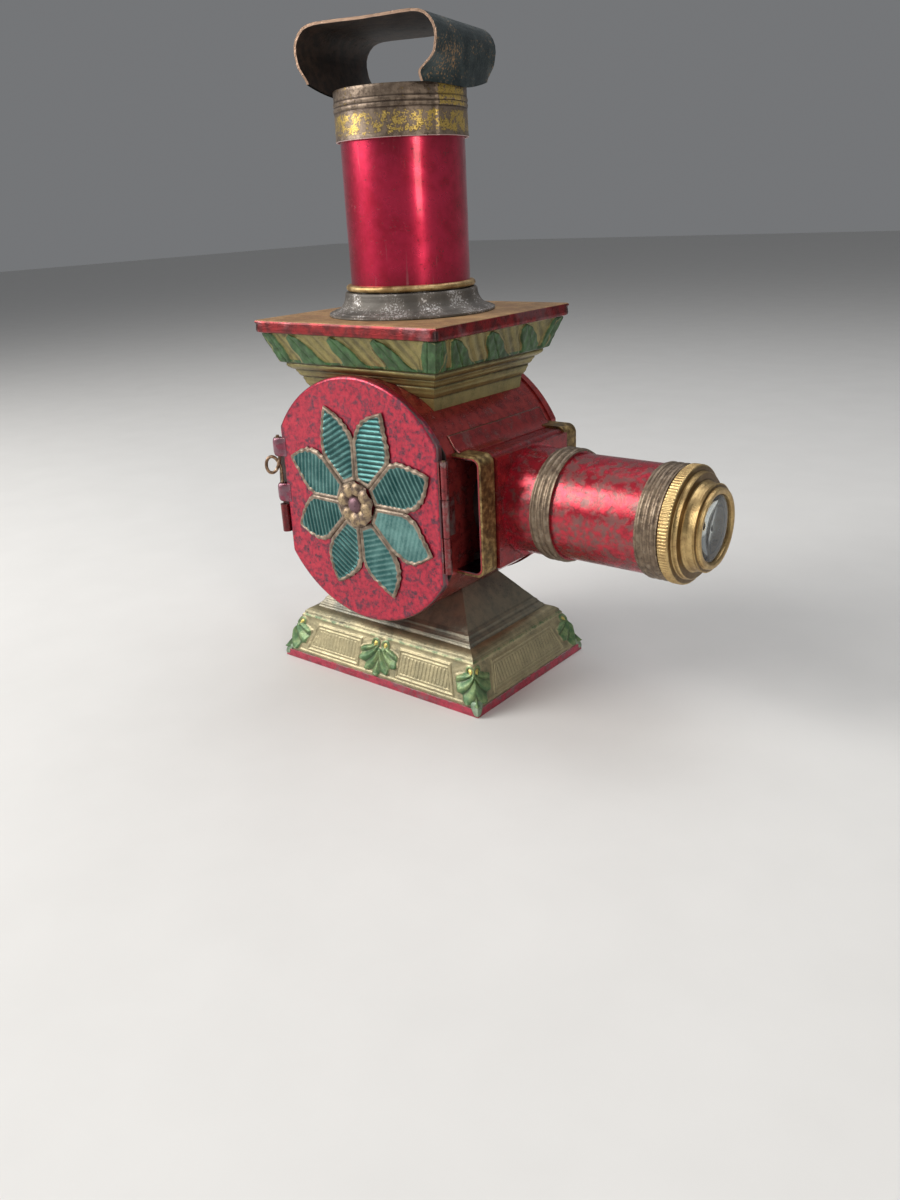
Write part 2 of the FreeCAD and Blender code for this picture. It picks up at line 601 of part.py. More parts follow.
def base_saddle():
    """Hipped piece between the ledge and the underside of the drum."""
    steps = (("skirt_top_inset", "skirt_height"), ("saddle_top_inset", "saddle_height"))
    sheet = mitred_shell("base_saddle", "base_length", "base_width", steps, "-")
    sub_part(cut("base_saddle", sheet, drum_tool("base_saddle_trim")), "base_saddle")


# --------------------------------------------------------------------- drum

def drum_shell():
    """Lamp house: a rolled drum with a flat front, a hole for the lens and one for the smoke."""
    body = new_body("drum_shell", "axis_height")
    pad(body, "XZ_Plane", "-drum_length / 2", "drum_length", flat_fronted("drum_radius", "drum_flat"))
    inside = flat_fronted("(drum_radius - tin_sheet)", "(drum_flat - tin_sheet)")
    pocket(body, "XZ_Plane", "-drum_length / 2", "drum_length", inside)
    bore(body, "YZ_Plane", "drum_flat - 2 * tin_sheet", "3 * tin_sheet", "0", "0", f"{CELL_RADIUS} + solder_gap")
    bore(body, "XY_Plane", "drum_radius / 2", "drum_radius", "0", "0", "drum_flue_radius")


def rear_cap():
    """Pressed cap over the far end of the drum."""
    body = new_body("rear_cap", "axis_height")
    start = "drum_length / 2 - cap_rim"
    pad(body, "XZ_Plane", start, "cap_rim + solder_gap + tin_sheet",
        flat_fronted("(drum_radius + solder_gap + tin_sheet)", "(drum_flat + solder_gap + tin_sheet)"))
    pocket(body, "XZ_Plane", start, "cap_rim + solder_gap",
           flat_fronted("(drum_radius + solder_gap)", "(drum_flat + solder_gap)"))


def door_frame():
    """Plate on the near end of the drum, with the opening the lamp goes through."""
    body = new_body("door_frame", "axis_height")
    pad(body, "XZ_Plane", FRAME_FACE, "tin_sheet", flat_fronted("drum_radius", "drum_flat"))
    pocket(body, "XZ_Plane", FRAME_FACE, "tin_sheet", flat_sided("frame_opening_radius", "frame_opening_flat"))


# ----------------------------------------------------------- door and its fittings

def side_door():
    """Shallow pan with two straight sides that closes the near end of the drum."""
    body = new_body("side_door", "axis_height")
    pad(body, "XZ_Plane", DOOR_FACE, "door_depth", flat_sided("door_radius", "door_flat"))
    inside = flat_sided("(door_radius - tin_sheet)", "(door_flat - tin_sheet)")
    pocket(body, "XZ_Plane", f"{DOOR_FACE} + tin_sheet", "door_depth", inside)


def rosette_petals():
    """Ring of pointed petals pressed from one sheet and fixed on the door."""
    body = new_body("rosette_petals", "axis_height")
    half_length = "((petal_tip_radius - petal_root_radius) / 2)"
    side_round = f"({half_length}^2 + petal_half_width^2) / (2 * petal_half_width)"
    outline = [("petal_tip_radius", "0", side_round), ("petal_root_radius", "0", side_round)]
    petal = pad(body, "XZ_Plane", f"{DOOR_FACE} - petal_thickness", "petal_thickness", outline)
    ring = body.newObject("PartDesign::PolarPattern", "rosette_ring")
    ring.Originals = [petal]
    ring.Axis = (origin_feature(body, "Y_Axis"), [""])
    ring.Angle = 360
    bind(ring, Occurrences="petal_count")
    body.Tip = ring
    half_step = "180 / petal_count"
    body.Placement.Rotation = FreeCAD.Rotation(FreeCAD.Vector(0, 1, 0), number(half_step))


def rosette_boss():
    """Domed centre of the rosette with a ring of beads."""
    body = new_body("rosette_boss", "axis_height")
    face = f"({DOOR_FACE} - petal_thickness)"
    dome_round = "(dome_radius^2 + dome_height^2) / (2 * dome_height)"
    sketch = new_sketch(body, "XY_Plane")
    draw_outline(sketch, [
        ("0", f"{face} - boss_sheet - dome_height"),
        ("dome_radius", f"{face} - boss_sheet", dome_round),
        ("boss_radius", f"{face} - boss_sheet"),
        ("boss_radius", face),
        ("0", face),
    ])
    turning = body.newObject("PartDesign::Revolution", "rosette_boss_turning")
    turning.Profile = sketch
    turning.ReferenceAxis = (origin_feature(body, "Y_Axis"), [""])
    turning.Angle = 360
    bead = body.newObject("PartDesign::AdditiveSphere", "rosette_bead")
    bind(bead, Radius="bead_radius", AttachmentOffset__Base__x="bead_circle_radius",
         AttachmentOffset__Base__y=f"{face} - boss_sheet")
    bead.AttachmentSupport = (origin_feature(body, "XY_Plane"), "")
    bead.MapMode = "FlatFace"
    ring = body.newObject("PartDesign::PolarPattern", "rosette_bead_ring")
    ring.Originals = [bead]
    ring.Axis = (origin_feature(body, "Y_Axis"), [""])
    ring.Angle = 360
    bind(ring, Occurrences="petal_count")
    body.Tip = ring


def hinge_barrel(label, foot, length, pin_clearance):
    """One hinge knuckle with its bore."""
    tube = round_bar(f"{label}_tube", HINGE_X, HINGE_Y, foot, "hinge_barrel_radius", length)
    hole = round_bar(f"{label}_hole", HINGE_X, HINGE_Y, f"{foot} - joint_gap",
                     f"hinge_pin_radius + {pin_clearance}", f"{length} + 2 * joint_gap")
    return tube, hole


def hinge():
    """Upright wire hinge beside the drum's flat front: middle knuckle on the drum, outer two on the door."""
    foot = "(axis_height - hinge_height / 2)"
    knuckle = "(hinge_height / 3)"
    door_knuckle = f"({knuckle} - joint_gap)"
    door_leaves = []
    for name, start in (("lower", foot), ("upper", f"({foot} + 2 * {knuckle} + joint_gap)")):
        tube, hole = hinge_barrel(f"door_knuckle_{name}", start, door_knuckle, "slide_fit")
        plate = block(f"door_plate_{name}", "door_flat", DOOR_FACE, start, "hinge_leaf_sheet", "door_depth",
                      door_knuckle)
        bridge = block(f"door_bridge_{name}", "door_flat", f"{HINGE_Y} - hinge_leaf_sheet / 2", start,
                       "hinge_offset", "hinge_leaf_sheet", door_knuckle)
        leaf = cut(f"door_hinge_{name}", fuse(f"door_leaf_{name}", [tube, plate, bridge]), hole)
        door_leaves.append(leaf)
    for name, leaf in zip(("lower", "upper"), door_leaves):
        sub_part(leaf, f"door_hinge_{name}")
    tube, hole = hinge_barrel("drum_knuckle", f"({foot} + {knuckle})", knuckle, "solder_gap")
    plate = block("drum_hinge_plate", "drum_flat + solder_gap", HINGE_Y, f"{foot} + {knuckle}",
                  "hinge_leaf_sheet", "hinge_leaf_reach", knuckle)
    sub_part(cut("drum_hinge", fuse("drum_leaf", [tube, plate]), hole), "drum_hinge")
    pin = round_bar("hinge_pin", HINGE_X, HINGE_Y, f"{foot} - joint_gap", "hinge_pin_radius",
                    "hinge_height + 2 * joint_gap")
    sub_part(pin, "hinge_pin")


def bolt_barrel(label, foot, length, seat):
    """Barrel for the bolt: a bored tube with a seat that holds it."""
    tube = round_bar(f"{label}_tube", BOLT_X, BOLT_Y, foot, "barrel_radius", length)
    hole = round_bar(f"{label}_hole", BOLT_X, BOLT_Y, f"{foot} - joint_gap",
                     "bolt_wire_radius + slide_fit", f"{length} + 2 * joint_gap")
    sub_part(cut(label, fuse(f"{label}_blank", [tube, seat]), hole), label)


def bolt_fittings():
    """Two barrels on the door and a keeper on the door frame, in line for the bolt."""
    for label, foot in (("bolt_barrel_upper", UPPER_BARREL_FOOT), ("bolt_barrel_lower", LOWER_BARREL_FOOT)):
        tail = block(f"{label}_tail", BOLT_X, f"{DOOR_FACE} - tin_sheet", foot, "barrel_tail", "tin_sheet",
                     "barrel_length")
        bolt_barrel(label, foot, "barrel_length", tail)
    keeper_foot = "(axis_height - keeper_drop - keeper_length / 2)"
    post = block("keeper_post", f"{BOLT_X} - tin_sheet", BOLT_Y, keeper_foot, "2 * tin_sheet",
                 f"{FRAME_FACE} - {BOLT_Y}", "keeper_length")
    bolt_barrel("bolt_keeper", keeper_foot, "keeper_length", post)


def latch_bolt():
    """Wire bolt with a finger ring that stands out between the barrels."""
    foot = f"({LOWER_BARREL_FOOT} - bolt_end_length)"
    length = f"({UPPER_BARREL_FOOT} + barrel_length + 2 * bolt_end_length) - {foot}"
    wire = round_bar("bolt_wire", BOLT_X, BOLT_Y, foot, "bolt_wire_radius", length)
    height = "axis_height + bolt_ring_rise"
    neck_length = "(barrel_radius + joint_gap + 2 * bolt_wire_radius)"
    ring_distance = "(barrel_radius + joint_gap + bolt_wire_radius + bolt_ring_radius)"
    outward = FreeCAD.Rotation(FreeCAD.Vector(0, 0, 1), number("bolt_ring_angle"))
    neck = doc.addObject("Part::Cylinder", "bolt_neck")
    neck.Placement.Rotation = outward * FreeCAD.Rotation(FreeCAD.Vector(0, 1, 0), 90)
    bind(neck, Radius="bolt_wire_radius", Height=neck_length,
         Placement__Base__x=BOLT_X, Placement__Base__y=BOLT_Y, Placement__Base__z=height)
    ring = doc.addObject("Part::Torus", "bolt_ring")
    ring.Placement.Rotation = outward * FreeCAD.Rotation(FreeCAD.Vector(1, 0, 0), 90)
    bind(ring, Radius1="bolt_ring_radius", Radius2="bolt_wire_radius",
         Placement__Base__x=f"{BOLT_X} + {ring_distance} * cos(bolt_ring_angle * 1deg)",
         Placement__Base__y=f"{BOLT_Y} + {ring_distance} * sin(bolt_ring_angle * 1deg)",
         Placement__Base__z=height)
    sub_part(fuse("latch_bolt", [wire, neck, ring]), "latch_bolt")


# ------------------------------------------------------- cornice and top plate

def cornice_shell():
    """Flared, embossed cornice soldered on the drum."""
    edge = "tin_sheet + solder_gap"
    downwards = (
        (edge, "tin_sheet"),
        (edge, "lip_height"),
        ("leaf_top_inset", "leaf_top_drop"),
        ("leaf_foot_inset", "leaf_foot_drop"),
        ("moulding_inset", "moulding_drop"),
        ("neck_inset", "neck_drop"),
        ("cornice_foot_inset", "cornice_foot_drop"),
    )
    steps = [(inset, f"cornice_top - {drop}") for inset, drop in reversed(downwards)]
    sheet = mitred_shell("cornice_shell", "cornice_length", "cornice_width", steps, "+")
    sub_part(cut("cornice_shell", sheet, drum_tool("cornice_trim")), "cornice_shell")


def top_plate():
    """Flat lid of the cornice, its edges folded down, open under the chimney."""
    body = new_body("top_plate")
    foot = "cornice_top - lip_height"
    pad(body, "XY_Plane", foot, "lip_height", centred_rectangle("cornice_length / 2", "cornice_width / 2"))
    inside = centred_rectangle("cornice_length / 2 - tin_sheet", "cornice_width / 2 - tin_sheet")
    pocket(body, "XY_Plane", foot, "lip_height - tin_sheet", inside)
    bore(body, "XY_Plane", foot, "2 * lip_height", "0", "0", SPIGOT_RADIUS)


# ---------------------------------------------------------------- chimney and cowl

def chimney_flange():
    """Socket soldered on the top plate, with a spigot that the chimney stands over."""
    bore_radius = f"{SPIGOT_RADIUS} - tin_sheet"
    head = "cornice_top + flange_height"
    turned("chimney_flange", "Z", [
        (bore_radius, "cornice_top"),
        ("flange_radius", "cornice_top"),
        ("flange_radius", "cornice_top + tin_sheet"),
        ("flange_neck_radius", head, "-flange_curve_radius"),
        (SPIGOT_RADIUS, head),
        (SPIGOT_RADIUS, f"{head} + spigot_length"),
        (bore_radius, f"{head} + spigot_length"),
    ])


def chimney_tube():
    """Straight chimney that lifts off its spigot."""
    inside = "chimney_radius - tin_sheet"
    turned("chimney_tube", "Z", rectangle(inside, CHIMNEY_FOOT, "chimney_radius", CHIMNEY_HEAD))


def chimney_ring():
    """Bead ring round the foot of the chimney."""
    inside = "chimney_radius + solder_gap"
    shoulder = "chimney_radius + ring_relief"
    head = f"{CHIMNEY_FOOT} + ring_height"
    turned("chimney_ring", "Z", [
        (inside, CHIMNEY_FOOT), (shoulder, CHIMNEY_FOOT), (shoulder, head, "ring_round"), (inside, head)])


def cowl_collar():
    """Collar that turns on the chimney, with a stop ring resting on the chimney's head."""
    inside = "collar_radius - tin_sheet"
    stop_foot = f"{CHIMNEY_HEAD} + joint_gap"
    turned("cowl_collar", "Z", [
        (inside, COLLAR_FOOT), ("collar_radius", COLLAR_FOOT), ("collar_radius", COLLAR_HEAD),
        (inside, COLLAR_HEAD), (inside, f"{stop_foot} + tin_sheet"),
        ("stop_opening_radius", f"{stop_foot} + tin_sheet"), ("stop_opening_radius", stop_foot),
        (inside, stop_foot)])


def cowl_strap():
    """Strip bent over the collar as a rain cowl, open at both mouths."""
    body = new_body("cowl_strap")
    foot = f"{COLLAR_HEAD} - strap_overlap"
    shoulder = f"{STRAP_TOP} - strap_shoulder"
    flat_end = "strap_half_width - strap_shoulder"
    leg_inside = "collar_radius + solder_gap"
    outside = [(f"{leg_inside} + brass_sheet", foot), ("strap_half_width", shoulder),
               (flat_end, STRAP_TOP, "strap_shoulder")]
    inside = [(flat_end, f"{STRAP_TOP} - brass_sheet"),
              ("strap_half_width - brass_sheet", shoulder, "-(strap_shoulder - brass_sheet)"),
              (leg_inside, foot)]
    left_outside = [(f"-({flat_end})", STRAP_TOP), ("-strap_half_width", shoulder, "strap_shoulder"),
                    (f"-({leg_inside} + brass_sheet)", foot)]
    left_inside = [(f"-({leg_inside})", foot), ("-(strap_half_width - brass_sheet)", shoulder),
                   (f"-({flat_end})", f"{STRAP_TOP} - brass_sheet", "-(strap_shoulder - brass_sheet)")]
    pad(body, "XZ_Plane", "-strap_depth / 2", "strap_depth", outside + left_outside + left_inside + inside)
    body.Placement.Rotation = FreeCAD.Rotation(FreeCAD.Vector(0, 0, 1), number("cowl_turn"))


# ------------------------------------------------------------------ slide stage

def channel(inner_depth, outer_depth, inner_half, outer_half, corner_round):
    """Outline of a channel that opens towards the drum, with rounded corners."""
    back = "drum_flat + solder_gap"
    sheet = f"(({outer_half}) - ({inner_half}))"
    corner = f"({corner_round} + {sheet})"
    outer = f"drum_flat + {outer_depth}"
    inner = f"drum_flat + {inner_depth}"
    return [
        (back, f"-({outer_half})"),
        (f"{outer} - {corner}", f"-({outer_half})"),
        (outer, f"-({outer_half}) + {corner}", corner),
        (outer, f"({outer_half}) - {corner}"),
        (f"{outer} - {corner}", outer_half, corner),
        (back, outer_half),
        (back, inner_half),
        (f"{inner} - {corner_round}", inner_half),
        (inner, f"({inner_half}) - {corner_round}", f"-({corner_round})"),
        (inner, f"-({inner_half}) + {corner_round}"),
        (f"{inner} - {corner_round}", f"-({inner_half})", f"-({corner_round})"),
        (back, f"-({inner_half})"),
    ]


def slide_stage():
    """Channel across the front of the drum, open at both ends for the slides."""
    body = new_body("slide_stage", "axis_height")
    inner_round = "(stage_corner - tin_sheet)"
    outline = channel("stage_depth - tin_sheet", "stage_depth", "stage_half_height - tin_sheet",
                      "stage_half_height", inner_round)
    pad(body, "XZ_Plane", "-stage_length / 2", "stage_length", outline)
    bore(body, "YZ_Plane", "drum_flat + stage_depth - 2 * tin_sheet", "3 * tin_sheet", "0", "0",
         "stage_window_radius")


def stage_bands():
    """Ribbed band round each end of the slide stage."""
    near = "stage_depth + solder_gap"
    far = f"{near} + stage_band_sheet"
    inner_half = "stage_half_height + solder_gap"
    outline = channel(near, far, inner_half, f"{inner_half} + stage_band_sheet", "(stage_corner + solder_gap)")
    starts = (("stage_band_door_side", "-stage_length / 2"),
              ("stage_band_far_side", "stage_length / 2 - stage_band_width"))
    for label, start in starts:
        body = new_body(label, "axis_height")
        pad(body, "XZ_Plane", start, "stage_band_width", outline)


def slide_springs():
    """Bowed leaf springs that press a slide against the stage front."""
    back = "drum_flat + solder_gap"
    outer_round = "(spring_reach^2 + spring_bow^2) / (2 * spring_bow)"
    inner_reach = "(spring_reach - 3 * spring_sheet)"
    inner_bow = "(spring_bow - spring_sheet)"
    inner_round = f"({inner_reach}^2 + {inner_bow}^2) / (2 * {inner_bow})"
    outline = [(back, "-spring_reach"), (back, "spring_reach", outer_round),
               (back, inner_reach), (back, f"-{inner_reach}", f"-{inner_round}")]
    starts = (("slide_spring_upper", "spring_offset"), ("slide_spring_lower", "-(spring_offset + spring_width)"))
    for label, start in starts:
        body = new_body(label, "axis_height")
        pad(body, "XY_Plane", start, "spring_width", outline)


# -------------------------------------------------------------------- optics

def biconvex(label, centre, radius, edge, bulge):
    """Biconvex lens about the beam axis."""
    face_round = f"(({radius})^2 + ({bulge})^2) / (2 * ({bulge}))"
    half_edge = f"({edge}) / 2"
    turned(label, "X", [
        (f"{centre} + {half_edge} + {bulge}", "0"),
        (f"{centre} + {half_edge}", radius, face_round),
        (f"{centre} - {half_edge}", radius),
        (f"{centre} - {half_edge} - {bulge}", "0", face_round),
    ], "axis_height")


def lens_ring(label, start, outer_radius, wall):
    """Plain ring that keeps a lens in its cell."""
    turned(label, "X", rectangle(start, f"{outer_radius} - {wall}", f"{start} + lens_ring_length", outer_radius),
           "axis_height")


def condenser():
    """Condenser lens in a flanged cell set into the flat front of the drum."""
    biconvex("condenser_lens", CONDENSER_CENTRE, "condenser_radius", "condenser_edge", "condenser_bulge")
    seat = "(condenser_radius + solder_gap)"
    inside_flat = "drum_flat - tin_sheet - solder_gap"
    back = f"{CONDENSER_CENTRE} - condenser_edge"
    front = f"{CONDENSER_CENTRE} + condenser_edge / 2 + 2 * cell_lip"
    turned("condenser_cell", "X", [
        (back, seat),
        (f"{front} - cell_lip", seat),
        (f"{front} - cell_lip", f"{seat} - cell_lip"),
        (front, f"{seat} - cell_lip"),
        (front, CELL_RADIUS),
        (inside_flat, CELL_RADIUS),
        (inside_flat, f"{CELL_RADIUS} + cell_wall"),
        (f"{inside_flat} - cell_lip", f"{CELL_RADIUS} + cell_wall"),
        (f"{inside_flat} - cell_lip", CELL_RADIUS),
        (back, CELL_RADIUS),
    ], "axis_height")
    ring_start = f"{CONDENSER_CENTRE} - condenser_edge / 2 - cell_lip - lens_ring_length"
    lens_ring("condenser_ring", ring_start, "condenser_radius", "cell_lip")


def lens_box():
    """Raised plate on the stage front that carries the lens tube."""
    body = new_body("lens_box", "axis_height")
    outline = centred_rectangle("lens_box_half_width", "stage_half_height - lens_box_margin")
    pad(body, "YZ_Plane", f"{STAGE_FRONT} + solder_gap", "lens_box_sheet", outline)
    bore(body, "YZ_Plane", STAGE_FRONT, "2 * lens_box_sheet", "0", "0", FIXED_TUBE_BORE)


def fixed_tube():
    """Short tube soldered to the raised plate."""
    turned("fixed_tube", "X", [
        (LENS_BOX_FRONT, FIXED_TUBE_BORE),
        (FIXED_TUBE_END, FIXED_TUBE_BORE),
        (FIXED_TUBE_END, "fixed_tube_radius"),
        (f"{LENS_BOX_FRONT} + tube_sheet", "fixed_tube_radius"),
        (f"{LENS_BOX_FRONT} + tube_sheet", "tube_flange_radius"),
        (LENS_BOX_FRONT, "tube_flange_radius"),
    ], "axis_height")


def ribbed_band(label, start, tube_radius):
    """Band with half-round ribs, closed round a tube."""
    inside = f"({tube_radius} + solder_gap)"
    outside = f"({inside} + tube_band_sheet)"
    space = "((tube_band_width - rib_count * rib_width) / (rib_count + 1))"
    points = [(start, inside), (start, outside)]
    for index in range(int(number("rib_count"))):
        rib_start = f"{start} + {space} + {index} * ({space} + rib_width)"
        points.append((rib_start, outside))
        points.append((f"{rib_start} + rib_width", outside, "-rib_round"))
    points += [(f"{start} + tube_band_width", outside), (f"{start} + tube_band_width", inside)]
    turned(label, "X", points, "axis_height")


def draw_tube():
    """Focusing tube that slides in the fixed tube."""
    turned("draw_tube", "X", rectangle("draw_tube_start", DRAW_TUBE_BORE, DRAW_TUBE_END, DRAW_TUBE_RADIUS),
           "axis_height")


def light_stop():
    """Black ring inside the draw tube that trims the beam."""
    start = "draw_tube_start + stop_distance"
    outside = f"{DRAW_TUBE_BORE} - solder_gap"
    turned("light_stop", "X", [
        (start, "stop_radius"),
        (f"{start} + tube_sheet", "stop_radius"),
        (f"{start} + tube_sheet", f"{outside} - tube_sheet"),
        (f"{start} + stop_rim", f"{outside} - tube_sheet"),
        (f"{start} + stop_rim", outside),
        (start, outside),
    ], "axis_height")


def rear_lens():
    """Rear lens in its cell at the inner end of the draw tube."""
    biconvex("rear_lens", REAR_LENS_CENTRE, "rear_lens_radius", "rear_lens_edge", "rear_lens_bulge")
    seat = "(rear_lens_radius + solder_gap)"
    outside = f"{DRAW_TUBE_BORE} - solder_gap"
    turned("rear_lens_cell", "X", [
        (REAR_CELL_START, f"{seat} - 2 * cell_lip"),
        (f"{REAR_CELL_START} + cell_lip", f"{seat} - 2 * cell_lip"),
        (f"{REAR_CELL_START} + cell_lip", seat),
        (f"{REAR_CELL_START} + rear_cell_length", seat),
        (f"{REAR_CELL_START} + rear_cell_length", outside),
        (REAR_CELL_START, outside),
    ], "axis_height")
    lens_ring("rear_lens_ring", f"{REAR_LENS_CENTRE} + rear_lens_edge / 2 + cell_lip", "rear_lens_radius",
              "2 * cell_lip")


def lens_head():
    """Turned brass head that screws into the draw tube and holds the front lens."""
    spigot = f"({DRAW_TUBE_BORE} - slide_fit)"
    spigot_bore = f"({spigot} - tube_sheet)"
    turned("lens_head", "X", [
        (f"{HEAD_BACK} - head_spigot_length", spigot_bore),
        (f"{HEAD_BACK} + head_web / 2", spigot_bore),
        (f"{HEAD_BACK} + head_web / 2", "head_bore_radius"),
        (f"{HEAD_FRONT} - head_lip", "head_bore_radius"),
        (f"{HEAD_FRONT} - head_lip", "head_aperture_radius"),
        (HEAD_FRONT, "head_aperture_radius"),
        (HEAD_FRONT, "head_rim_radius"),
        (HEAD_RIM, "head_rim_radius"),
        (f"{HEAD_RIM} - head_bevel", "head_neck_radius"),
        (f"{HEAD_NECK} + head_bevel", "head_neck_radius"),
        (HEAD_NECK, "head_step_radius"),
        (f"{HEAD_STEP} + head_bevel", "head_step_radius"),
        (HEAD_STEP, "head_flange_radius"),
        (HEAD_BACK, "head_flange_radius"),
        (HEAD_BACK, spigot),
        (f"{HEAD_BACK} - head_spigot_length", spigot),
    ], "axis_height")


def front_lens():
    """Front lens and the ring behind it."""
    radius = "head_bore_radius - solder_gap"
    centre = f"({FRONT_LENS_FACE} - front_lens_edge / 2)"
    biconvex("front_lens", centre, radius, "front_lens_edge", "front_lens_bulge")
    start = f"{centre} - front_lens_edge / 2 - joint_gap - lens_ring_length"
    lens_ring("front_lens_ring", start, radius, "cell_lip")


# ---------------------------------------------------------------------- lamp

def lamp_floor():
    """Flat sheet soldered across the foot of the drum, for the lamp to stand on."""
    body = new_body("lamp_floor")
    half_width = "(sqrt((drum_radius - tin_sheet)^2 - lamp_floor_drop^2) - solder_gap)"
    pad(body, "XY_Plane", f"{FLOOR_TOP} - tin_sheet", "tin_sheet",
        centred_rectangle(half_width, "lamp_floor_length / 2"))


def lamp_rails():
    """Two upright strips that guide the lamp in."""
    inner = "font_radius + joint_gap"
    starts = (("lamp_rail_front", inner), ("lamp_rail_back", f"-({inner} + tin_sheet)"))
    for label, start in starts:
        rail = block(label, start, "-rail_length / 2", FLOOR_TOP, "tin_sheet", "rail_length", "rail_height")
        sub_part(rail, label)


def lamp_font():
    """Closed oil font with a mouth for the burner."""
    turned("lamp_font", "Z", [
        ("0", FLOOR_TOP),
        ("font_radius", FLOOR_TOP),
        ("font_radius", FONT_TOP),
        ("font_mouth_radius", FONT_TOP),
        ("font_mouth_radius", f"{FONT_TOP} - tin_sheet"),
        ("font_radius - tin_sheet", f"{FONT_TOP} - tin_sheet"),
        ("font_radius - tin_sheet", f"{FLOOR_TOP} + tin_sheet"),
        ("0", f"{FLOOR_TOP} + tin_sheet"),
    ])


def burner():
    """Burner cap with a slot for the wick tube and bearings for the winder shaft."""
    inside = "burner_radius - tin_sheet"
    body = turned("burner", "Z", [
        (inside, FONT_TOP),
        ("burner_radius", FONT_TOP),
        ("burner_radius", BURNER_TOP),
        ("0", BURNER_TOP),
        ("0", WICK_TUBE_FOOT),
        (inside, WICK_TUBE_FOOT),
    ])
    slot_half_x = "wick_thickness / 2 + slide_fit + tin_sheet + solder_gap"
    slot_half_y = "wick_width / 2 + slide_fit + tin_sheet + solder_gap"
    pocket(body, "XY_Plane", f"{WICK_TUBE_FOOT} - tin_sheet", "3 * tin_sheet",
           centred_rectangle(slot_half_x, slot_half_y))
    bore(body, "XZ_Plane", "-2 * burner_radius", "4 * burner_radius", WINDER_X, WINDER_Z,
         "winder_radius + slide_fit")


def wick_tube():
    """Flat tube that the wick rises through."""
    body = new_body("wick_tube")
    bore_x = "wick_thickness / 2 + slide_fit"
    bore_y = "wick_width / 2 + slide_fit"
    pad(body, "XY_Plane", WICK_TUBE_FOOT, "wick_tube_height",
        centred_rectangle(f"{bore_x} + tin_sheet", f"{bore_y} + tin_sheet"))
    pocket(body, "XY_Plane", WICK_TUBE_FOOT, "wick_tube_height", centred_rectangle(bore_x, bore_y))


def wick():
    """Flat woven wick, from the font up through its tube."""
    head = f"({WICK_TUBE_FOOT} + wick_tube_height + wick_stand)"
    strip = block("wick", "-wick_thickness / 2", "-wick_width / 2", f"{head} - wick_length",
                  "wick_thickness", "wick_width", "wick_length")
    sub_part(strip, "wick")


def wick_winder():
    """Shaft with two spur wheels beside the wick, and its knob towards the door."""
    def along_y(label, start, radius, length):
        bar = doc.addObject("Part::Cylinder", label)
        bar.Placement.Rotation = FreeCAD.Rotation(FreeCAD.Vector(1, 0, 0), -90)
        bind(bar, Radius=radius, Height=length,
             Placement__Base__x=WINDER_X, Placement__Base__y=start, Placement__Base__z=WINDER_Z)
        return bar
    shaft = along_y("winder_rod", "-winder_reach", "winder_radius", "winder_reach + winder_tail")
    near_wheel = along_y("near_spur", "-(spur_offset + spur_width / 2)", "spur_radius", "spur_width")
    far_wheel = along_y("far_spur", "spur_offset - spur_width / 2", "spur_radius", "spur_width")
    sub_part(fuse("wick_winder_shaft", [shaft, near_wheel, far_wheel]), "wick_winder_shaft")
    disc = along_y("knob_disc", "-winder_reach", "knob_radius", "knob_width")
    hole = along_y("knob_hole", "-(winder_reach + joint_gap)", "winder_radius + solder_gap",
                   "knob_width + 2 * joint_gap")
    sub_part(cut("wick_knob", disc, hole), "wick_knob")


def glass_gallery():
    """Dished ring on the burner that the lamp glass stands in."""
    inside = "gallery_radius - tin_sheet"
    turned("glass_gallery", "Z", [
        ("gallery_opening_radius", BURNER_TOP),
        ("gallery_radius", BURNER_TOP),
        ("gallery_radius", f"{BURNER_TOP} + gallery_height"),
        (inside, f"{BURNER_TOP} + gallery_height"),
        (inside, f"{BURNER_TOP} + tin_sheet"),
        ("gallery_opening_radius", f"{BURNER_TOP} + tin_sheet"),
    ])


def lamp_glass():
    """Blown glass chimney of the lamp, with a bulb round the flame."""
    foot_radius = "(gallery_radius - tin_sheet - joint_gap)"
    bulb_foot = f"{GLASS_FOOT} + glass_foot_height"
    bulb_head = f"{bulb_foot} + glass_bulb_height"
    head = f"{GLASS_FOOT} + glass_height"
    turned("lamp_glass", "Z", [
        (foot_radius, GLASS_FOOT),
        (foot_radius, bulb_foot),
        ("glass_neck_radius", bulb_head, "glass_bulb_round"),
        ("glass_top_radius", head),
        ("glass_top_radius - glass_wall", head),
        ("glass_neck_radius - glass_wall", bulb_head),
        (f"{foot_radius} - glass_wall", bulb_foot, "-(glass_bulb_round - glass_wall)"),
        (f"{foot_radius} - glass_wall", GLASS_FOOT),
    ])


def reflector():
    """Dished reflector behind the flame, on a bracket from the font."""
    middle = "-reflector_distance"
    rim = "-(reflector_distance - reflector_depth)"
    dish_round = "((reflector_radius^2 + reflector_depth^2) / (2 * reflector_depth))"
    turned("reflector", "X", [
        (middle, "0"),
        (rim, "reflector_radius", f"-{dish_round}"),
        (f"{rim} - tin_sheet", "reflector_radius"),
        (f"{middle} - tin_sheet", "0", dish_round),
    ], "axis_height")
    tab_front = "(reflector_distance - reflector_depth + 2 * tin_sheet + solder_gap)"
    body = new_body("reflector_bracket")
    outline = [
        ("-bracket_end", FONT_TOP),
        ("-bracket_end", f"{FONT_TOP} + tin_sheet"),
        (f"-{tab_front}", f"{FONT_TOP} + tin_sheet"),
        (f"-{tab_front}", f"{FONT_TOP} + bracket_tab"),
        (f"-({tab_front} + tin_sheet)", f"{FONT_TOP} + bracket_tab"),
        (f"-({tab_front} + tin_sheet)", FONT_TOP),
    ]
    pad(body, "XZ_Plane", "-bracket_half_width", "2 * bracket_half_width", outline)


# --------------------------------------------------------------- build and export

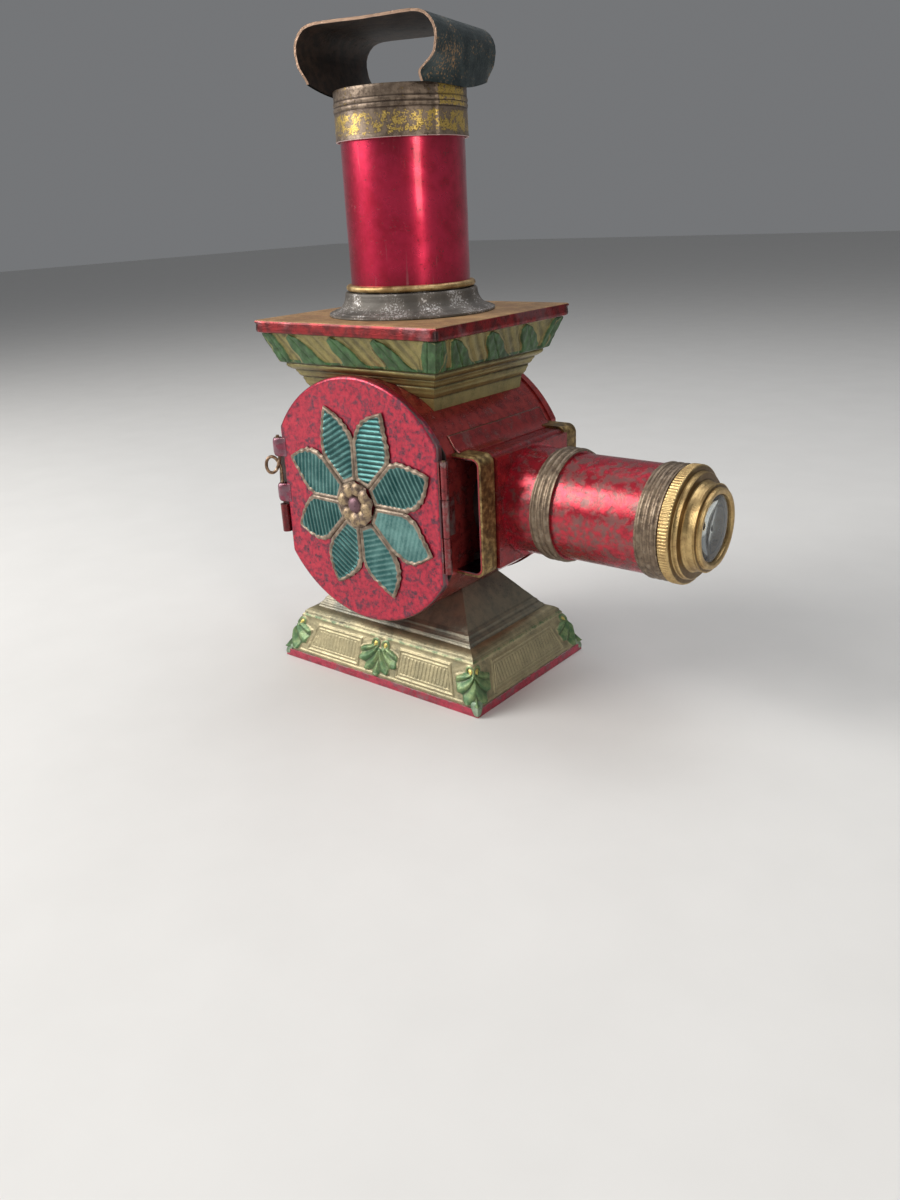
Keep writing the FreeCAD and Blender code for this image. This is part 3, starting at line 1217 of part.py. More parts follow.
def build():
    """Build every piece, from the base up, then the beam, then the lamp."""
    base_plate()
    base_skirt()
    base_saddle()
    drum_shell()
    rear_cap()
    door_frame()
    side_door()
    rosette_petals()
    rosette_boss()
    hinge()
    bolt_fittings()
    latch_bolt()
    cornice_shell()
    top_plate()
    chimney_flange()
    chimney_tube()
    chimney_ring()
    cowl_collar()
    cowl_strap()
    slide_stage()
    stage_bands()
    slide_springs()
    condenser()
    lens_box()
    fixed_tube()
    ribbed_band("fixed_tube_band", f"({FIXED_TUBE_END} - tube_band_width)", "fixed_tube_radius")
    draw_tube()
    ribbed_band("draw_tube_band", f"({DRAW_TUBE_END} - tube_band_width)", DRAW_TUBE_RADIUS)
    light_stop()
    rear_lens()
    lens_head()
    front_lens()
    lamp_floor()
    lamp_rails()
    lamp_font()
    burner()
    wick_tube()
    wick()
    wick_winder()
    glass_gallery()
    lamp_glass()
    reflector()


def check():
    """Stop on any failed object, empty or invalid shape, or cut that takes nothing away."""
    for item in doc.Objects:
        if {"Invalid", "Error"} & set(item.State):
            raise RuntimeError(f"{item.Label} failed: {item.State}")
    for feature in cuts:
        if feature.Shape.Volume >= feature.BaseFeature.Shape.Volume:
            raise RuntimeError(f"{feature.Label} cuts nothing")
    for item in sub_parts:
        if item.Shape.isNull() or not item.Shape.isValid() or not item.Shape.Solids:
            raise RuntimeError(f"{item.Label} has no sound shape")


def export():
    """Write each piece to its own STEP file."""
    os.makedirs("parts", exist_ok=True)
    for item in sub_parts:
        item.Shape.exportStep(f"parts/{item.Label}.step")


build()
doc.recompute()
check()
export()
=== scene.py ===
"""A tinplate magic lantern: round lamp house on a hipped base, chimney with a bent cowl, and a lens tube."""
import math
import bpy
from mathutils import Matrix, Vector, noise


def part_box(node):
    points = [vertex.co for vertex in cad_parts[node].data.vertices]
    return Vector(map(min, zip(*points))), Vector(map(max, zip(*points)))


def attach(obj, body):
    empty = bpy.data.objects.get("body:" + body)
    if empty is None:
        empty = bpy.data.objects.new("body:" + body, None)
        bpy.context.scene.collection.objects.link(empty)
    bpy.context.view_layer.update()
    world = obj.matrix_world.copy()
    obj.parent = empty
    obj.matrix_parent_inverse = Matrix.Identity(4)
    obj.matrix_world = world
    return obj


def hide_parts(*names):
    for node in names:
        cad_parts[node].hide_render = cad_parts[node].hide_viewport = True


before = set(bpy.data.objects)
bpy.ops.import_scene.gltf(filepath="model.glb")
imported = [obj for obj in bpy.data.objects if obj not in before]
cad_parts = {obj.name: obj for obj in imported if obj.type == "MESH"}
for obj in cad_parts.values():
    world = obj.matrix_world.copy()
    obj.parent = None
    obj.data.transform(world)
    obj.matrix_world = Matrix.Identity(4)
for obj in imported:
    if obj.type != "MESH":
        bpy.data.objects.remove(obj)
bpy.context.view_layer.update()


# ------------------------------------------------------------------ base rim
# The tray the lantern stands on: tinplate, its edge folded up into a narrow rim that grips the skirt.
# The rim is lacquered pinkish red, rubbed grey along its top, and is bent and dented from handling.

def room(node):
    """Lowest and highest corner of a part, in millimetres."""
    low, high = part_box(node)
    return low * 1000, high * 1000


def smooth(value, start, end):
    """0 below start, 1 above end, and a soft step between them."""
    t = min(max((value - start) / (end - start), 0.0), 1.0)
    return t * t * (3 - 2 * t)


def bell(value, width):
    """1 at zero, falling off to either side within about the width."""
    return math.exp(-(value / width) ** 2)


def rough(x, y, z, size):
    """Soft random unevenness of about the given size in millimetres, between -1 and 1."""
    return noise.noise(Vector((x / size, y / size, z / size)))


def line_through(corners, step):
    """Points along a line of corners, no further apart than step, with the corners kept."""
    line = [corners[0]]
    for start, end in zip(corners, corners[1:]):
        count = max(1, math.ceil(math.dist(start, end) / step))
        for k in range(1, count + 1):
            line.append(tuple(a + (b - a) * k / count for a, b in zip(start, end)))
    return line


def sheet(rows, columns, place, closed=False):
    """Points, quads and masks of a sheet. place(column, row) gives x, y, z and any masks."""
    spots = [place(column, row) for row in range(rows) for column in range(columns)]
    faces = []
    for row in range(rows - 1):
        for column in range(columns if closed else columns - 1):
            right = (column + 1) % columns
            faces.append((row * columns + column, row * columns + right,
                          (row + 1) * columns + right, (row + 1) * columns + column))
    return spots, faces


def joined(*sheets):
    """Several sheets as one."""
    spots, faces = [], []
    for more_spots, more_faces in sheets:
        faces += [tuple(corner + len(spots) for corner in face) for face in more_faces]
        spots += more_spots
    return spots, faces


def new_piece(name, parts, body, finish, nodes=(), masks=(), crease=38, thick=0.0):
    """A mesh from a sheet in millimetres, riding on a body and standing for CAD nodes."""
    spots, faces = parts
    mesh = bpy.data.meshes.new(name)
    mesh.from_pydata([Vector(spot[:3]) * 0.001 for spot in spots], [], faces)
    for number, mask in enumerate(masks):
        layer = mesh.attributes.new(mask, "FLOAT", "POINT")
        layer.data.foreach_set("value", [spot[3 + number] for spot in spots])
    mesh.update()
    mesh.polygons.foreach_set("use_smooth", [True] * len(mesh.polygons))
    mesh.set_sharp_from_angle(angle=math.radians(crease))
    piece = bpy.data.objects.new(name, mesh)
    bpy.context.scene.collection.objects.link(piece)
    mesh.materials.append(finish)
    if thick:
        wall = piece.modifiers.new("sheet thickness", "SOLIDIFY")
        wall.thickness = thick * 0.001
        wall.offset = -1.0
    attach(piece, body)
    if nodes:
        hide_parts(*nodes)
    return piece


class Value:
    """A socket in a sum: Python's own signs add the Math nodes."""

    def __init__(self, finish, socket):
        self.finish = finish
        self.socket = socket

    def maths(self, operation, first, second):
        return self.finish.node("ShaderNodeMath", {"operation": operation}, {0: first, 1: second})

    def __add__(self, other):
        return self.maths("ADD", self, other)

    __radd__ = __add__

    def __sub__(self, other):
        return self.maths("SUBTRACT", self, other)

    def __rsub__(self, other):
        return self.maths("SUBTRACT", other, self)

    def __mul__(self, other):
        return self.maths("MULTIPLY", self, other)

    __rmul__ = __mul__


class Finish:
    """A procedural material, built up on the part's own coordinates in metres."""

    def __init__(self, name):
        self.material = bpy.data.materials.new(name)
        self.material.use_nodes = True
        self.tree = self.material.node_tree
        self.shader = self.tree.nodes["Principled BSDF"]
        self.spot = self.node("ShaderNodeTexCoord", {}, {}, "Object")

    def node(self, kind, settings, inputs, output=0):
        """Any node: its settings are set first, then its sockets get their values or links."""
        made = self.tree.nodes.new(kind)
        for key, value in settings.items():
            if key == "stops":
                while len(made.color_ramp.elements) < len(value):
                    made.color_ramp.elements.new(0.5)
                for element, (place, colour) in zip(made.color_ramp.elements, value):
                    element.position = place
                    element.color = (*colour, 1)
            else:
                setattr(made, key, value)
        for key, value in inputs.items():
            self.feed(made.inputs[key], value)
        return Value(self, made.outputs[output])

    def feed(self, socket, value):
        """Links a value to a socket, or sets the socket to a number or colour."""
        if isinstance(value, Value):
            self.tree.links.new(value.socket, socket)
        elif socket.type == "RGBA":
            socket.default_value = (*value, 1)
        else:
            socket.default_value = value

    def grain(self, scale, detail=4, stretch=None, lumps=0.55):
        """Noise with about scale lumps to the metre, drawn out by stretch."""
        spot = self.spot
        if stretch:
            spot = self.node("ShaderNodeMapping", {}, {"Vector": spot, "Scale": stretch})
        return self.node("ShaderNodeTexNoise", {},
                         {"Vector": spot, "Scale": scale, "Detail": detail, "Roughness": lumps})

    def step(self, value, start, end):
        """A soft step from 0 at start to 1 at end. The other way round when start is above end."""
        return self.node("ShaderNodeMapRange", {"interpolation_type": "SMOOTHSTEP"},
                         {"Value": value, "From Min": start, "From Max": end})

    def mask(self, name):
        """A mask that the mesh carries."""
        return self.node("ShaderNodeAttribute", {"attribute_name": name}, {}, "Fac")

    def ramp(self, value, *stops):
        """Colours along a value."""
        return self.node("ShaderNodeValToRGB", {"stops": stops}, {"Fac": value})

    def mix(self, share, first, second):
        """The first colour, turning into the second as share goes from 0 to 1."""
        return self.node("ShaderNodeMix", {"data_type": "RGBA"}, {0: share, 6: first, 7: second}, 2)

    def paint(self, colour, roughness, metallic, height, depth, **uniform):
        """Feeds the shader, with height as bumps of the given depth in metres."""
        self.feed(self.shader.inputs["Base Color"], colour)
        self.feed(self.shader.inputs["Roughness"], roughness)
        self.feed(self.shader.inputs["Metallic"], metallic)
        bumps = self.node("ShaderNodeBump", {}, {"Height": height, "Distance": depth, "Strength": 1.0})
        self.feed(self.shader.inputs["Normal"], bumps)
        for name, value in uniform.items():
            self.shader.inputs[name.replace("_", " ").title()].default_value = value
        return self.material


def lacquer(name, light, deep, worn, rubbed, speck=0.5, edge=None, gloss=0.30, size=1.0, inside=False):
    """Coloured lacquer over tin, rubbed through in clouds and specks. rubbed is the share worn away."""
    finish = Finish(name)
    clouds = finish.grain(95 / size, 7, lumps=0.62)
    patches = finish.grain(210 / size, 6, lumps=0.7)
    specks = finish.grain(1500 / size, 3, lumps=0.6)
    dots = finish.node("ShaderNodeTexVoronoi", {}, {"Vector": finish.spot, "Scale": 700 / size})
    scratch = finish.grain(70, 3, stretch=(1.0, 9.0, 26.0))
    worn_away = finish.step(clouds * 0.55 + patches * 0.45, 0.60 - rubbed * 0.35, 0.70 - rubbed * 0.30)
    pits = finish.step(specks * 0.6 + patches * 0.4, 0.565, 0.63) * speck
    fine = finish.step(dots, 0.17, 0.07) * finish.step(patches, 0.5, 0.6) * speck
    scrapes = finish.step(scratch, 0.70, 0.76) * 0.5
    colour = finish.mix(finish.step(patches, 0.35, 0.68), light, deep)
    colour = finish.mix(worn_away * 0.85, colour, worn)
    colour = finish.mix(pits, colour, tuple(c * 0.35 for c in worn))
    colour = finish.mix(fine, colour, tuple(c * 0.25 for c in deep))
    colour = finish.mix(scrapes, colour, tuple(min(c * 1.8, 0.8) for c in worn))
    bare = worn_away * 0.5 + scrapes
    if edge:
        rub = finish.step(finish.mask("edge") + (patches - 0.5) * 0.9, 0.55, 0.75)
        colour = finish.mix(rub, colour, edge)
        bare = bare + rub * 0.6
    # Painted shade: the inside of the slide stage is coloured near-black, as the shade within the box.
    if inside:  # dark within the slide stage: behind its rounded corners, and between them
        forward = finish.node("ShaderNodeSeparateXYZ", {}, {0: finish.spot}, 0)
        upward = finish.node("ShaderNodeSeparateXYZ", {}, {0: finish.spot}, 2)
        off_axis = finish.node("ShaderNodeMath", {"operation": "ABSOLUTE"}, {0: upward - 0.074})
        behind_corner = finish.step(forward, 0.0484, 0.0481) * finish.step(off_axis, 0.02035, 0.0202)
        between_corners = finish.step(forward, 0.0503, 0.0501) * finish.step(off_axis, 0.0183, 0.0180)
        within = finish.node("ShaderNodeMath", {"operation": "MAXIMUM"},
                             {0: behind_corner, 1: between_corners})
        colour = finish.mix(within, colour, (0.012, 0.006, 0.008))
    roughness = gloss + worn_away * 0.18 + pits * 0.2 + (specks - 0.5) * 0.12
    height = patches * 0.35 + specks * 0.25 - worn_away * 0.25 - pits * 0.2
    return finish.paint(colour, roughness, 0.62 + bare * 0.2, height, 0.00016, coat_weight=0.28,
                        coat_roughness=0.14)


def mitred(profile, half_length, half_width, columns, relief=None):
    """Four sheets round a rectangle that meet in mitred corners.

    profile holds (inset, height) points. relief(side, across, along, point) gives the bulge, then the masks.
    """
    sheets = []
    for side in range(4):
        turn = side * math.pi / 2
        out = Vector((math.sin(turn), -math.cos(turn), 0))
        over = Vector((math.cos(turn), math.sin(turn), 0))
        depth, reach = (half_width, half_length) if side % 2 == 0 else (half_length, half_width)

        def place(column, row):
            inset, height = profile[row]
            share = 2 * column / (columns - 1) - 1
            across = share * (reach - inset)
            bulge, *masks = relief(side, across, reach - inset - abs(across), row, height) if relief else (0,)
            spot = out * (depth - inset + bulge) + over * (share * (reach - inset + bulge))
            return (spot.x, spot.y, height, *masks)

        sheets.append(sheet(len(profile), columns, place))
    return joined(*sheets)


rim_high = room("base_plate")[1]
rim_profile = line_through([(0.95, 2.6), (0.72, 3.2), (0.42, 3.15), (0.3, 2.7), (0.16, 0.4), (0.3, 0.08),
                            (0.7, 0.0)], 0.45) + [(2.5, 0.0), (12.0, 0.25), (36.0, 0.35)]


def rim_dents(side, across, to_corner, row, height):
    wave = 0.16 * rough(across, side * 40, 5, 9) - 0.05
    corner = smooth(to_corner, 2.2, 0.4) * 0.35 * smooth(height, 0.2, 1.5)
    edge = smooth(height, 2.5, 3.1) * 0.7 + corner
    return min(wave, 0.12) * smooth(height, 0.05, 1.2) - corner, edge


rim_lacquer = lacquer("rim_lacquer", (0.52, 0.06, 0.10), (0.27, 0.02, 0.04), (0.30, 0.15, 0.17), 0.30,
                      edge=(0.42, 0.27, 0.28), gloss=0.33, size=0.6)
new_piece("base_rim", mitred(rim_profile, rim_high.x, rim_high.y, 150, rim_dents), "lamp_house",
          rim_lacquer, ["base_plate"], ["edge"])


# ------------------------------------------------------------------ base skirt
# The sloping skirt is thin tinplate pressed in a die: fluted panels in frames, with palmettes between.
# It is washed with old gold, and the palmettes with green, all of it tarnished in the hollows.

BASE_HALF_LENGTH = 51.0
BASE_HALF_WIDTH = 36.0
SKIRT_FACE = 15.4            # length of the sloping face from the rim to the shoulder


def palmette(across, down, width, height):
    """Relief, leaf, gold and groove of a palmette: two scrolls over a fan of lobes that curl out."""
    side = abs(across)
    scroll = math.hypot(side - 2.5, down - 2.2)
    ring = bell(scroll - 1.7, 0.5)
    eye = bell(scroll, 0.95)
    fan_down = down - 1.2
    angle = math.atan2(side, max(fan_down, 0.01))
    reach = math.hypot(side, fan_down)
    curl = angle - 0.035 * reach + 0.12
    beat = 0.5 + 0.5 * math.cos((curl - 0.1) * 15.0)
    rim = min(height * (0.84 + 0.12 * beat) * (1 - 0.10 * angle), width * 1.02 / max(math.sin(angle), 0.2))
    inside = smooth(rim - reach, 0.0, 0.8) * smooth(1.25, angle, angle + 0.12) * smooth(reach, 2.2, 3.4)
    lobes = inside * (0.15 + 0.95 * beat ** 0.6)
    relief = max(lobes, 0.75 * ring, 0.8 * eye)
    groove = inside * (1 - beat) ** 2.2 + 0.8 * bell(scroll - 0.95, 0.3)
    return relief, max(inside, ring * 0.9), max(eye, 0.3 * ring), groove


def skirt_relief(side, across, to_corner, row, height):
    """Pressed pattern of one face, with its masks for leaf, gold and hollow."""
    down = (17.5 - height) * SKIRT_FACE / 14.3
    face = smooth(height, 3.4, 4.2) * smooth(17.4, height - 0.2, height + 0.5)
    leaf = gold = groove = 0.0
    bulge = 0.0
    if height < 17.9:
        spots = [palmette(to_corner + 0.8, down - 0.4, 9.8, 16.2)]
        if side % 2 == 0:
            spots.append(palmette(across, down - 0.2, 9.8, 15.0))
        bulge, leaf, gold, groove = max(spots)
        start = 9.6 if side % 2 == 0 else -100.0
        inner = min(abs(across) - start, to_corner - 10.6)
        if inner > 0:
            vertical = min(down - 1.7, 13.6 - down)
            inside = min(inner, vertical)
            frame_line = bell(inside - 0.6, 0.35) * 0.38 + bell(inside - 2.0, 0.3) * 0.26
            flutes = 0.12 + 0.28 * abs(math.sin(math.pi * across / 1.75)) ** 1.2 * smooth(inside, 2.3, 2.9)
            bulge = max(bulge, (frame_line + flutes) * smooth(inside, -0.1, 0.3) + 0.05)
    bulge = bulge * face
    bulge += 0.42 * bell(height - 17.6, 0.45) - 0.3 * bell(height - 18.6, 0.35)
    bulge -= 0.16 * bell(height - 19.9, 0.25)
    bulge += 0.22 * bell(height - 4.1, 0.35) + 0.10 * rough(across, side * 60, height, 6)
    bulge += 0.05 * rough(across, side * 60, height, 1.3)
    hollow = min(smooth(0.10, bulge, bulge + 0.30) * 0.8 + groove, 1.0)
    if leaf < 0.05:
        leaf = 0.45 * bell(height - 17.9, 0.7)
    return bulge * 0.95 - 0.1, leaf, gold, hollow


def pressed(name, ground, dull, leaf_light, leaf_deep, gold, dark=(0.035, 0.03, 0.018), roughness=0.46):
    """Pressed tin under old gold and green lacquer, dark in its hollows and bright on its crests."""
    finish = Finish(name)
    clouds = finish.grain(70, 6, lumps=0.6)
    patches = finish.grain(260, 6, lumps=0.65)
    specks = finish.grain(1700, 3)
    streaks = finish.grain(120, 4, stretch=(1.0, 1.0, 0.15))
    leaf = finish.step(finish.mask("leaf") + (patches - 0.5) * 1.1 + (specks - 0.5) * 0.5, 0.22, 0.62) * 0.92
    hollow = finish.mask("hollow")
    colour = finish.mix(finish.step(clouds * 0.5 + patches * 0.5, 0.40, 0.62), ground, dull)
    colour = finish.mix(finish.step(streaks, 0.52, 0.68) * 0.5, colour, tuple(c * 0.55 for c in dull))
    crest = finish.step(0.55 - hollow + (specks - 0.5) * 0.6, 0.32, 0.60)
    colour = finish.mix(crest * 0.45, colour, tuple(c * 1.5 for c in ground))
    leaves = finish.mix(finish.step(patches, 0.38, 0.60), leaf_light, leaf_deep)
    colour = finish.mix(leaf, colour, leaves)
    colour = finish.mix(finish.step(finish.mask("gold") + (patches - 0.5) * 0.5, 0.25, 0.6), colour, gold)
    colour = finish.mix(finish.step(hollow + (patches - 0.5) * 0.35, 0.5, 1.1) * 0.6, colour, dark)
    grit = finish.step(specks * 0.7 + clouds * 0.3, 0.56, 0.64)
    colour = finish.mix(grit * 0.45, colour, dark)
    level = roughness + (patches - 0.5) * 0.3 + grit * 0.15
    height = patches * 0.5 + specks * 0.35 - grit * 0.2
    return finish.paint(colour, level, 0.62 - grit * 0.4 - leaf * 0.25, height, 0.00025, coat_weight=0.18,
                        coat_roughness=0.25)


skirt_profile = line_through([(1.0, 2.3), (0.75, 3.2), (6.3, 17.5)], 0.28)
for degrees in range(6, 61, 6):
    skirt_profile.append((6.3 + 4.7 * (1 - math.cos(math.radians(degrees * 1.5))),
                          17.5 + 3.5 * math.sin(math.radians(degrees * 1.5))))
skirt_profile += [(11.3, 21.1), (13.5, 21.1)]
pressed_base = pressed("pressed_base", (0.36, 0.31, 0.18), (0.22, 0.20, 0.12), (0.20, 0.30, 0.12),
                       (0.06, 0.16, 0.06), (0.66, 0.56, 0.14))
new_piece("base_skirt_pressed", mitred(skirt_profile, BASE_HALF_LENGTH, BASE_HALF_WIDTH, 300, skirt_relief),
          "lamp_house", pressed_base, ["base_skirt"], ["leaf", "gold", "hollow"], 55)


def corner_toe(x, y):
    """A small leaf folded down over a corner of the rim."""
    def place(column, row):
        swing = (column / 14 - 0.5) * 2
        down = row / 12
        width = 3.2 * (1 - 0.72 * down ** 2.0)
        height = 5.6 - 5.3 * down
        inset = 1.6 - 1.55 * min(down * 1.6, 1.0) ** 0.7 + 0.35 * smooth(down, 0.85, 1.0)
        ridge = 0.30 * abs(math.cos(swing * 5.0)) * (1 - down * 0.5)
        along = abs(swing) * width
        first = BASE_HALF_LENGTH - inset - (along if swing < 0 else 0) - 0.28 + ridge * 0.6
        second = BASE_HALF_WIDTH - inset - (along if swing > 0 else 0) - 0.28 + ridge * 0.6
        return (x * min(first, BASE_HALF_LENGTH - 0.02), y * min(second, BASE_HALF_WIDTH - 0.02), height,
                0.75, 0.2, 0.35)
    return sheet(13, 15, place)


toes = joined(*(corner_toe(x, y) for x in (-1, 1) for y in (-1, 1)))
pewter_toe = pressed("corner_toe", (0.44, 0.43, 0.34), (0.24, 0.25, 0.19), (0.30, 0.40, 0.27),
                     (0.12, 0.20, 0.12), (0.6, 0.55, 0.35))
new_piece("corner_toes", toes, "lamp_house", pewter_toe, [], ["leaf", "gold", "hollow"], 60, 0.25)


# ------------------------------------------------------------------ saddle
# A plain hipped plate on top of the skirt carries the drum, and is cut to the drum's round and soldered.
# Three fine lines are pressed round its foot, and the rest is flat, greyish old gold.

DRUM_AXIS = 74.0
DRUM_RADIUS = 45.0


def saddle_relief(side, across, to_corner, row, height):
    lines = 0.35 * bell(height - 22.2, 0.4) + 0.26 * bell(height - 24.4, 0.35)
    lines += 0.2 * rough(across, side * 50, height, 12) + 0.05 * rough(across, side * 50, height, 2)
    hollow = 0.9 * bell(height - 23.3, 0.45) + 0.8 * bell(height - 25.4, 0.5) + 0.8 * bell(height - 21.1, 0.4)
    return lines, 0.0, 0.0, 0.35 + 0.6 * hollow


saddle_profile = line_through([(10.9, 20.9), (12.2, 22.6), (26.0, 40.0)], 0.35)
saddle_spots, saddle_faces = mitred(saddle_profile, BASE_HALF_LENGTH, BASE_HALF_WIDTH, 150, saddle_relief)


def under_drum(spot):
    """The spot, pulled down onto the underside of the drum if it would be inside it."""
    x, y, z, *masks = spot
    if abs(x) < DRUM_RADIUS:
        z = min(z, DRUM_AXIS - math.sqrt((DRUM_RADIUS + 0.03) ** 2 - x * x))
    return (x, y, z, *masks)


pressed_saddle = pressed("pressed_saddle", (0.27, 0.24, 0.17), (0.17, 0.165, 0.13), (0.2, 0.3, 0.1),
                         (0.1, 0.2, 0.1), (0.6, 0.5, 0.2), roughness=0.42)
new_piece("saddle_plate", ([under_drum(spot) for spot in saddle_spots], saddle_faces), "lamp_house",
          pressed_saddle, ["base_saddle"], ["leaf", "gold", "hollow"], 60)


# ------------------------------------------------------------------ drum
# The lamp house: a tin drum on its side, with a flat front for the slide stage and a rear cap pushed on.
# Red lacquer, salmon where it is thin and dark round the joints, with soot freckles all over.

def refinish(finish, *nodes):
    """Gives CAD parts a better finish."""
    for node in nodes:
        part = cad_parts[node]
        if not part.material_slots:
            part.data.materials.append(finish)
        for place in part.material_slots:
            place.material = finish


drum_red = lacquer("drum_red", (0.46, 0.055, 0.05), (0.25, 0.022, 0.024), (0.26, 0.11, 0.10), 0.16, speck=0.8,
                   gloss=0.20, size=0.7)
refinish(drum_red, "drum_shell", "rear_cap")

# Near-black tin: real soot on the lamp parts inside the drum, and painted shade on the door frame, whose
# segment beside the door stands in shadow.
soot_and_shade = Finish("soot_and_shade_tin")
soot_and_shade_clouds = soot_and_shade.grain(160, 6)
soot_and_shade_specks = soot_and_shade.grain(1300, 3)
soot_and_shade_tin = soot_and_shade.paint(soot_and_shade.ramp(soot_and_shade_clouds, (0.3, (0.012, 0.009, 0.009)), (0.7, (0.06, 0.04, 0.035))),
                        0.42 + soot_and_shade_specks * 0.3, 0.45, soot_and_shade_clouds * 0.6 + soot_and_shade_specks * 0.4, 0.0002)
refinish(soot_and_shade_tin, "door_frame", "condenser_cell", "light_stop", "rear_lens_cell")
hinge_red = lacquer("hinge_red", (0.26, 0.03, 0.035), (0.10, 0.012, 0.014), (0.30, 0.20, 0.19), 0.35,
                    gloss=0.26, size=0.6)
refinish(hinge_red, "drum_hinge", "door_hinge_lower", "door_hinge_upper")


# ------------------------------------------------------------------ door
# A shallow pan with a rolled edge closes the lamp opening: round above and below, straight at its sides.
# Crimson lacquer, clouded purple grey by wear; along the rolled edge the tin is rubbed bare and painted dark
# as shade, most on the right-hand side.

door_low, door_high = room("side_door")
DOOR_SIDE = 38.5
DOOR_ROUND = 45.8


def door_outline(count):
    """Points round the door as directions and distances, with the straight sides at the left and right."""
    points = []
    for k in range(count):
        turn = 2 * math.pi * k / count
        reach = DOOR_ROUND
        if abs(math.cos(turn)) * reach > DOOR_SIDE:
            reach = DOOR_SIDE / abs(math.cos(turn))
        points.append((math.cos(turn) * reach, math.sin(turn) * reach))
    return points


door_edge = door_outline(360)
door_rings = [(0.0, door_high.y), (0.0, door_low.y + 1.25), (0.12, door_low.y + 0.7),
              (0.4, door_low.y + 0.32), (0.8, door_low.y + 0.12), (1.35, door_low.y + 0.05),
              (1.9, door_low.y + 0.16),
              (2.5, door_low.y + 0.2)] + [(2.5 + 2.1 * k, door_low.y + 0.2) for k in range(1, 21)]


def door_place(column, row):
    inset, depth = door_rings[row]
    x, z = door_edge[column]
    reach = math.hypot(x, z)
    share = max(reach - inset, 0.0) / reach
    x, z = x * share, z * share
    dent = 0.10 * rough(x, z, 3, 14) * smooth(inset, 1.5, 5)
    # Edge mask: rubbed bare tin plus painted shade along the rolled edge, stronger towards the right, away
    # from the key light, and over the straight right side.
    edge = bell(inset - 0.25, 0.30) * (0.55 + 0.4 * smooth(x, 8, 30)) + 0.22 * smooth(x, 34, 38)
    return (x, depth + dent, DRUM_AXIS + z, edge)


# The edge colour is painted shade, dark over the rubbed bare tin of the rolled edge.
door_crimson = lacquer("door_crimson", (0.52, 0.026, 0.055), (0.30, 0.011, 0.040), (0.115, 0.040, 0.065),
                       0.33, speck=1.3, edge=(0.16, 0.085, 0.095), gloss=0.30, size=0.42)
new_piece("door_pan", sheet(len(door_rings), len(door_edge), door_place, True), "side_door",
          door_crimson, ["side_door"], ["edge"], 60)


# ------------------------------------------------------------------ rosette
# Eight pressed petals round a beaded boss, soldered to the door: teal lacquer over ribs, gilt along the rims.
# No two petals came out of the die alike, and their tips are bent and nicked.

ROSETTE_X = 0.0
petal_high = room("rosette_petals")[1]
# direction, tip distance, width and place of the shoulder, lean of the tip, lean and depth of the ribs
PETALS = ((22.5, 37.4, 9.1, 26.5, -1.8, 0.10, 0.8), (67.0, 37.5, 8.9, 25.0, 2.4, 0.45, 1.0),
          (111.0, 37.3, 8.6, 24.0, -0.8, 0.12, 1.0), (157.0, 36.4, 8.6, 25.0, -2.2, 0.3, 0.55),
          (-158.5, 34.6, 8.9, 25.0, 1.2, -0.25, 0.8), (-112.0, 35.8, 8.4, 25.5, -1.0, -0.2, 0.8),
          (-66.5, 37.3, 8.6, 26.0, 1.6, -0.1, 0.35), (-23.0, 37.4, 8.8, 27.5, -2.6, 0.1, 0.12))


def petal(direction, tip, width, shoulder, lean, slant, ribs):
    """One petal, with a raised rim and ribs across it."""
    turn = math.radians(direction)
    root = 8.2

    def place(column, row):
        t = row / 84
        s = (column / 40 - 0.5) * 2
        along = root + (tip - root) * t
        half = 0.425 * along
        if along > shoulder - 4:
            left = (tip - along) / (tip - shoulder + 4)
            nick = 1 + 0.05 * math.sin(along * 2.4 + direction) * smooth(along, shoulder, shoulder + 3)
            half = min(half, width * 1.08) * (0.25 * left + 0.75 * (1 - (1 - left) ** 2.2)) * nick
            half = min(half, 0.425 * along)
        half = min(half, width * (1 + 0.02 * math.sin(along * 1.9 + direction)))
        side = s * half + lean * smooth(along, shoulder - 6, tip) * smooth(tip, along - 1, along + 9)
        to_edge = min((1 - abs(s)) * half, (tip - along) * 0.9, (along - root) * 0.8 + 0.4)
        rim = bell(to_edge - 0.95, 0.9)
        inner = smooth(to_edge, 1.3, 2.3)
        wave = math.sin((along + slant * side) * 2 * math.pi / 1.95)
        height = 0.15 + 0.95 * rim * smooth(to_edge, -0.3, 0.35)
        height += inner * (0.34 + 0.20 * (1 - s * s) + 0.24 * ribs * wave)
        height = max(height + 0.05 * rough(along, side, direction, 3), 0.0)
        x = ROSETTE_X + math.cos(turn) * along - math.sin(turn) * side
        z = DRUM_AXIS + math.sin(turn) * along + math.cos(turn) * side
        # groove also carries the painted shade that darkens the rib grooves.
        groove = inner * ribs * (0.5 - 0.5 * wave)
        return (x, petal_high.y - min(height, 1.22), z, max(rim, 1 - smooth(to_edge, 1.3, 2.0)), groove)

    return sheet(85, 41, place)


teal = Finish("petal_teal")
teal_clouds = teal.grain(170, 5)
teal_patches = teal.grain(420, 5)
teal_specks = teal.grain(1900, 3)
teal_rim = teal.step(teal.mask("rim") + (teal_patches - 0.5) * 0.35, 0.32, 0.50)
teal_groove = teal.mask("groove")
teal_colour = teal.mix(teal.step(teal_clouds, 0.35, 0.65), (0.028, 0.12, 0.115), (0.095, 0.235, 0.22))
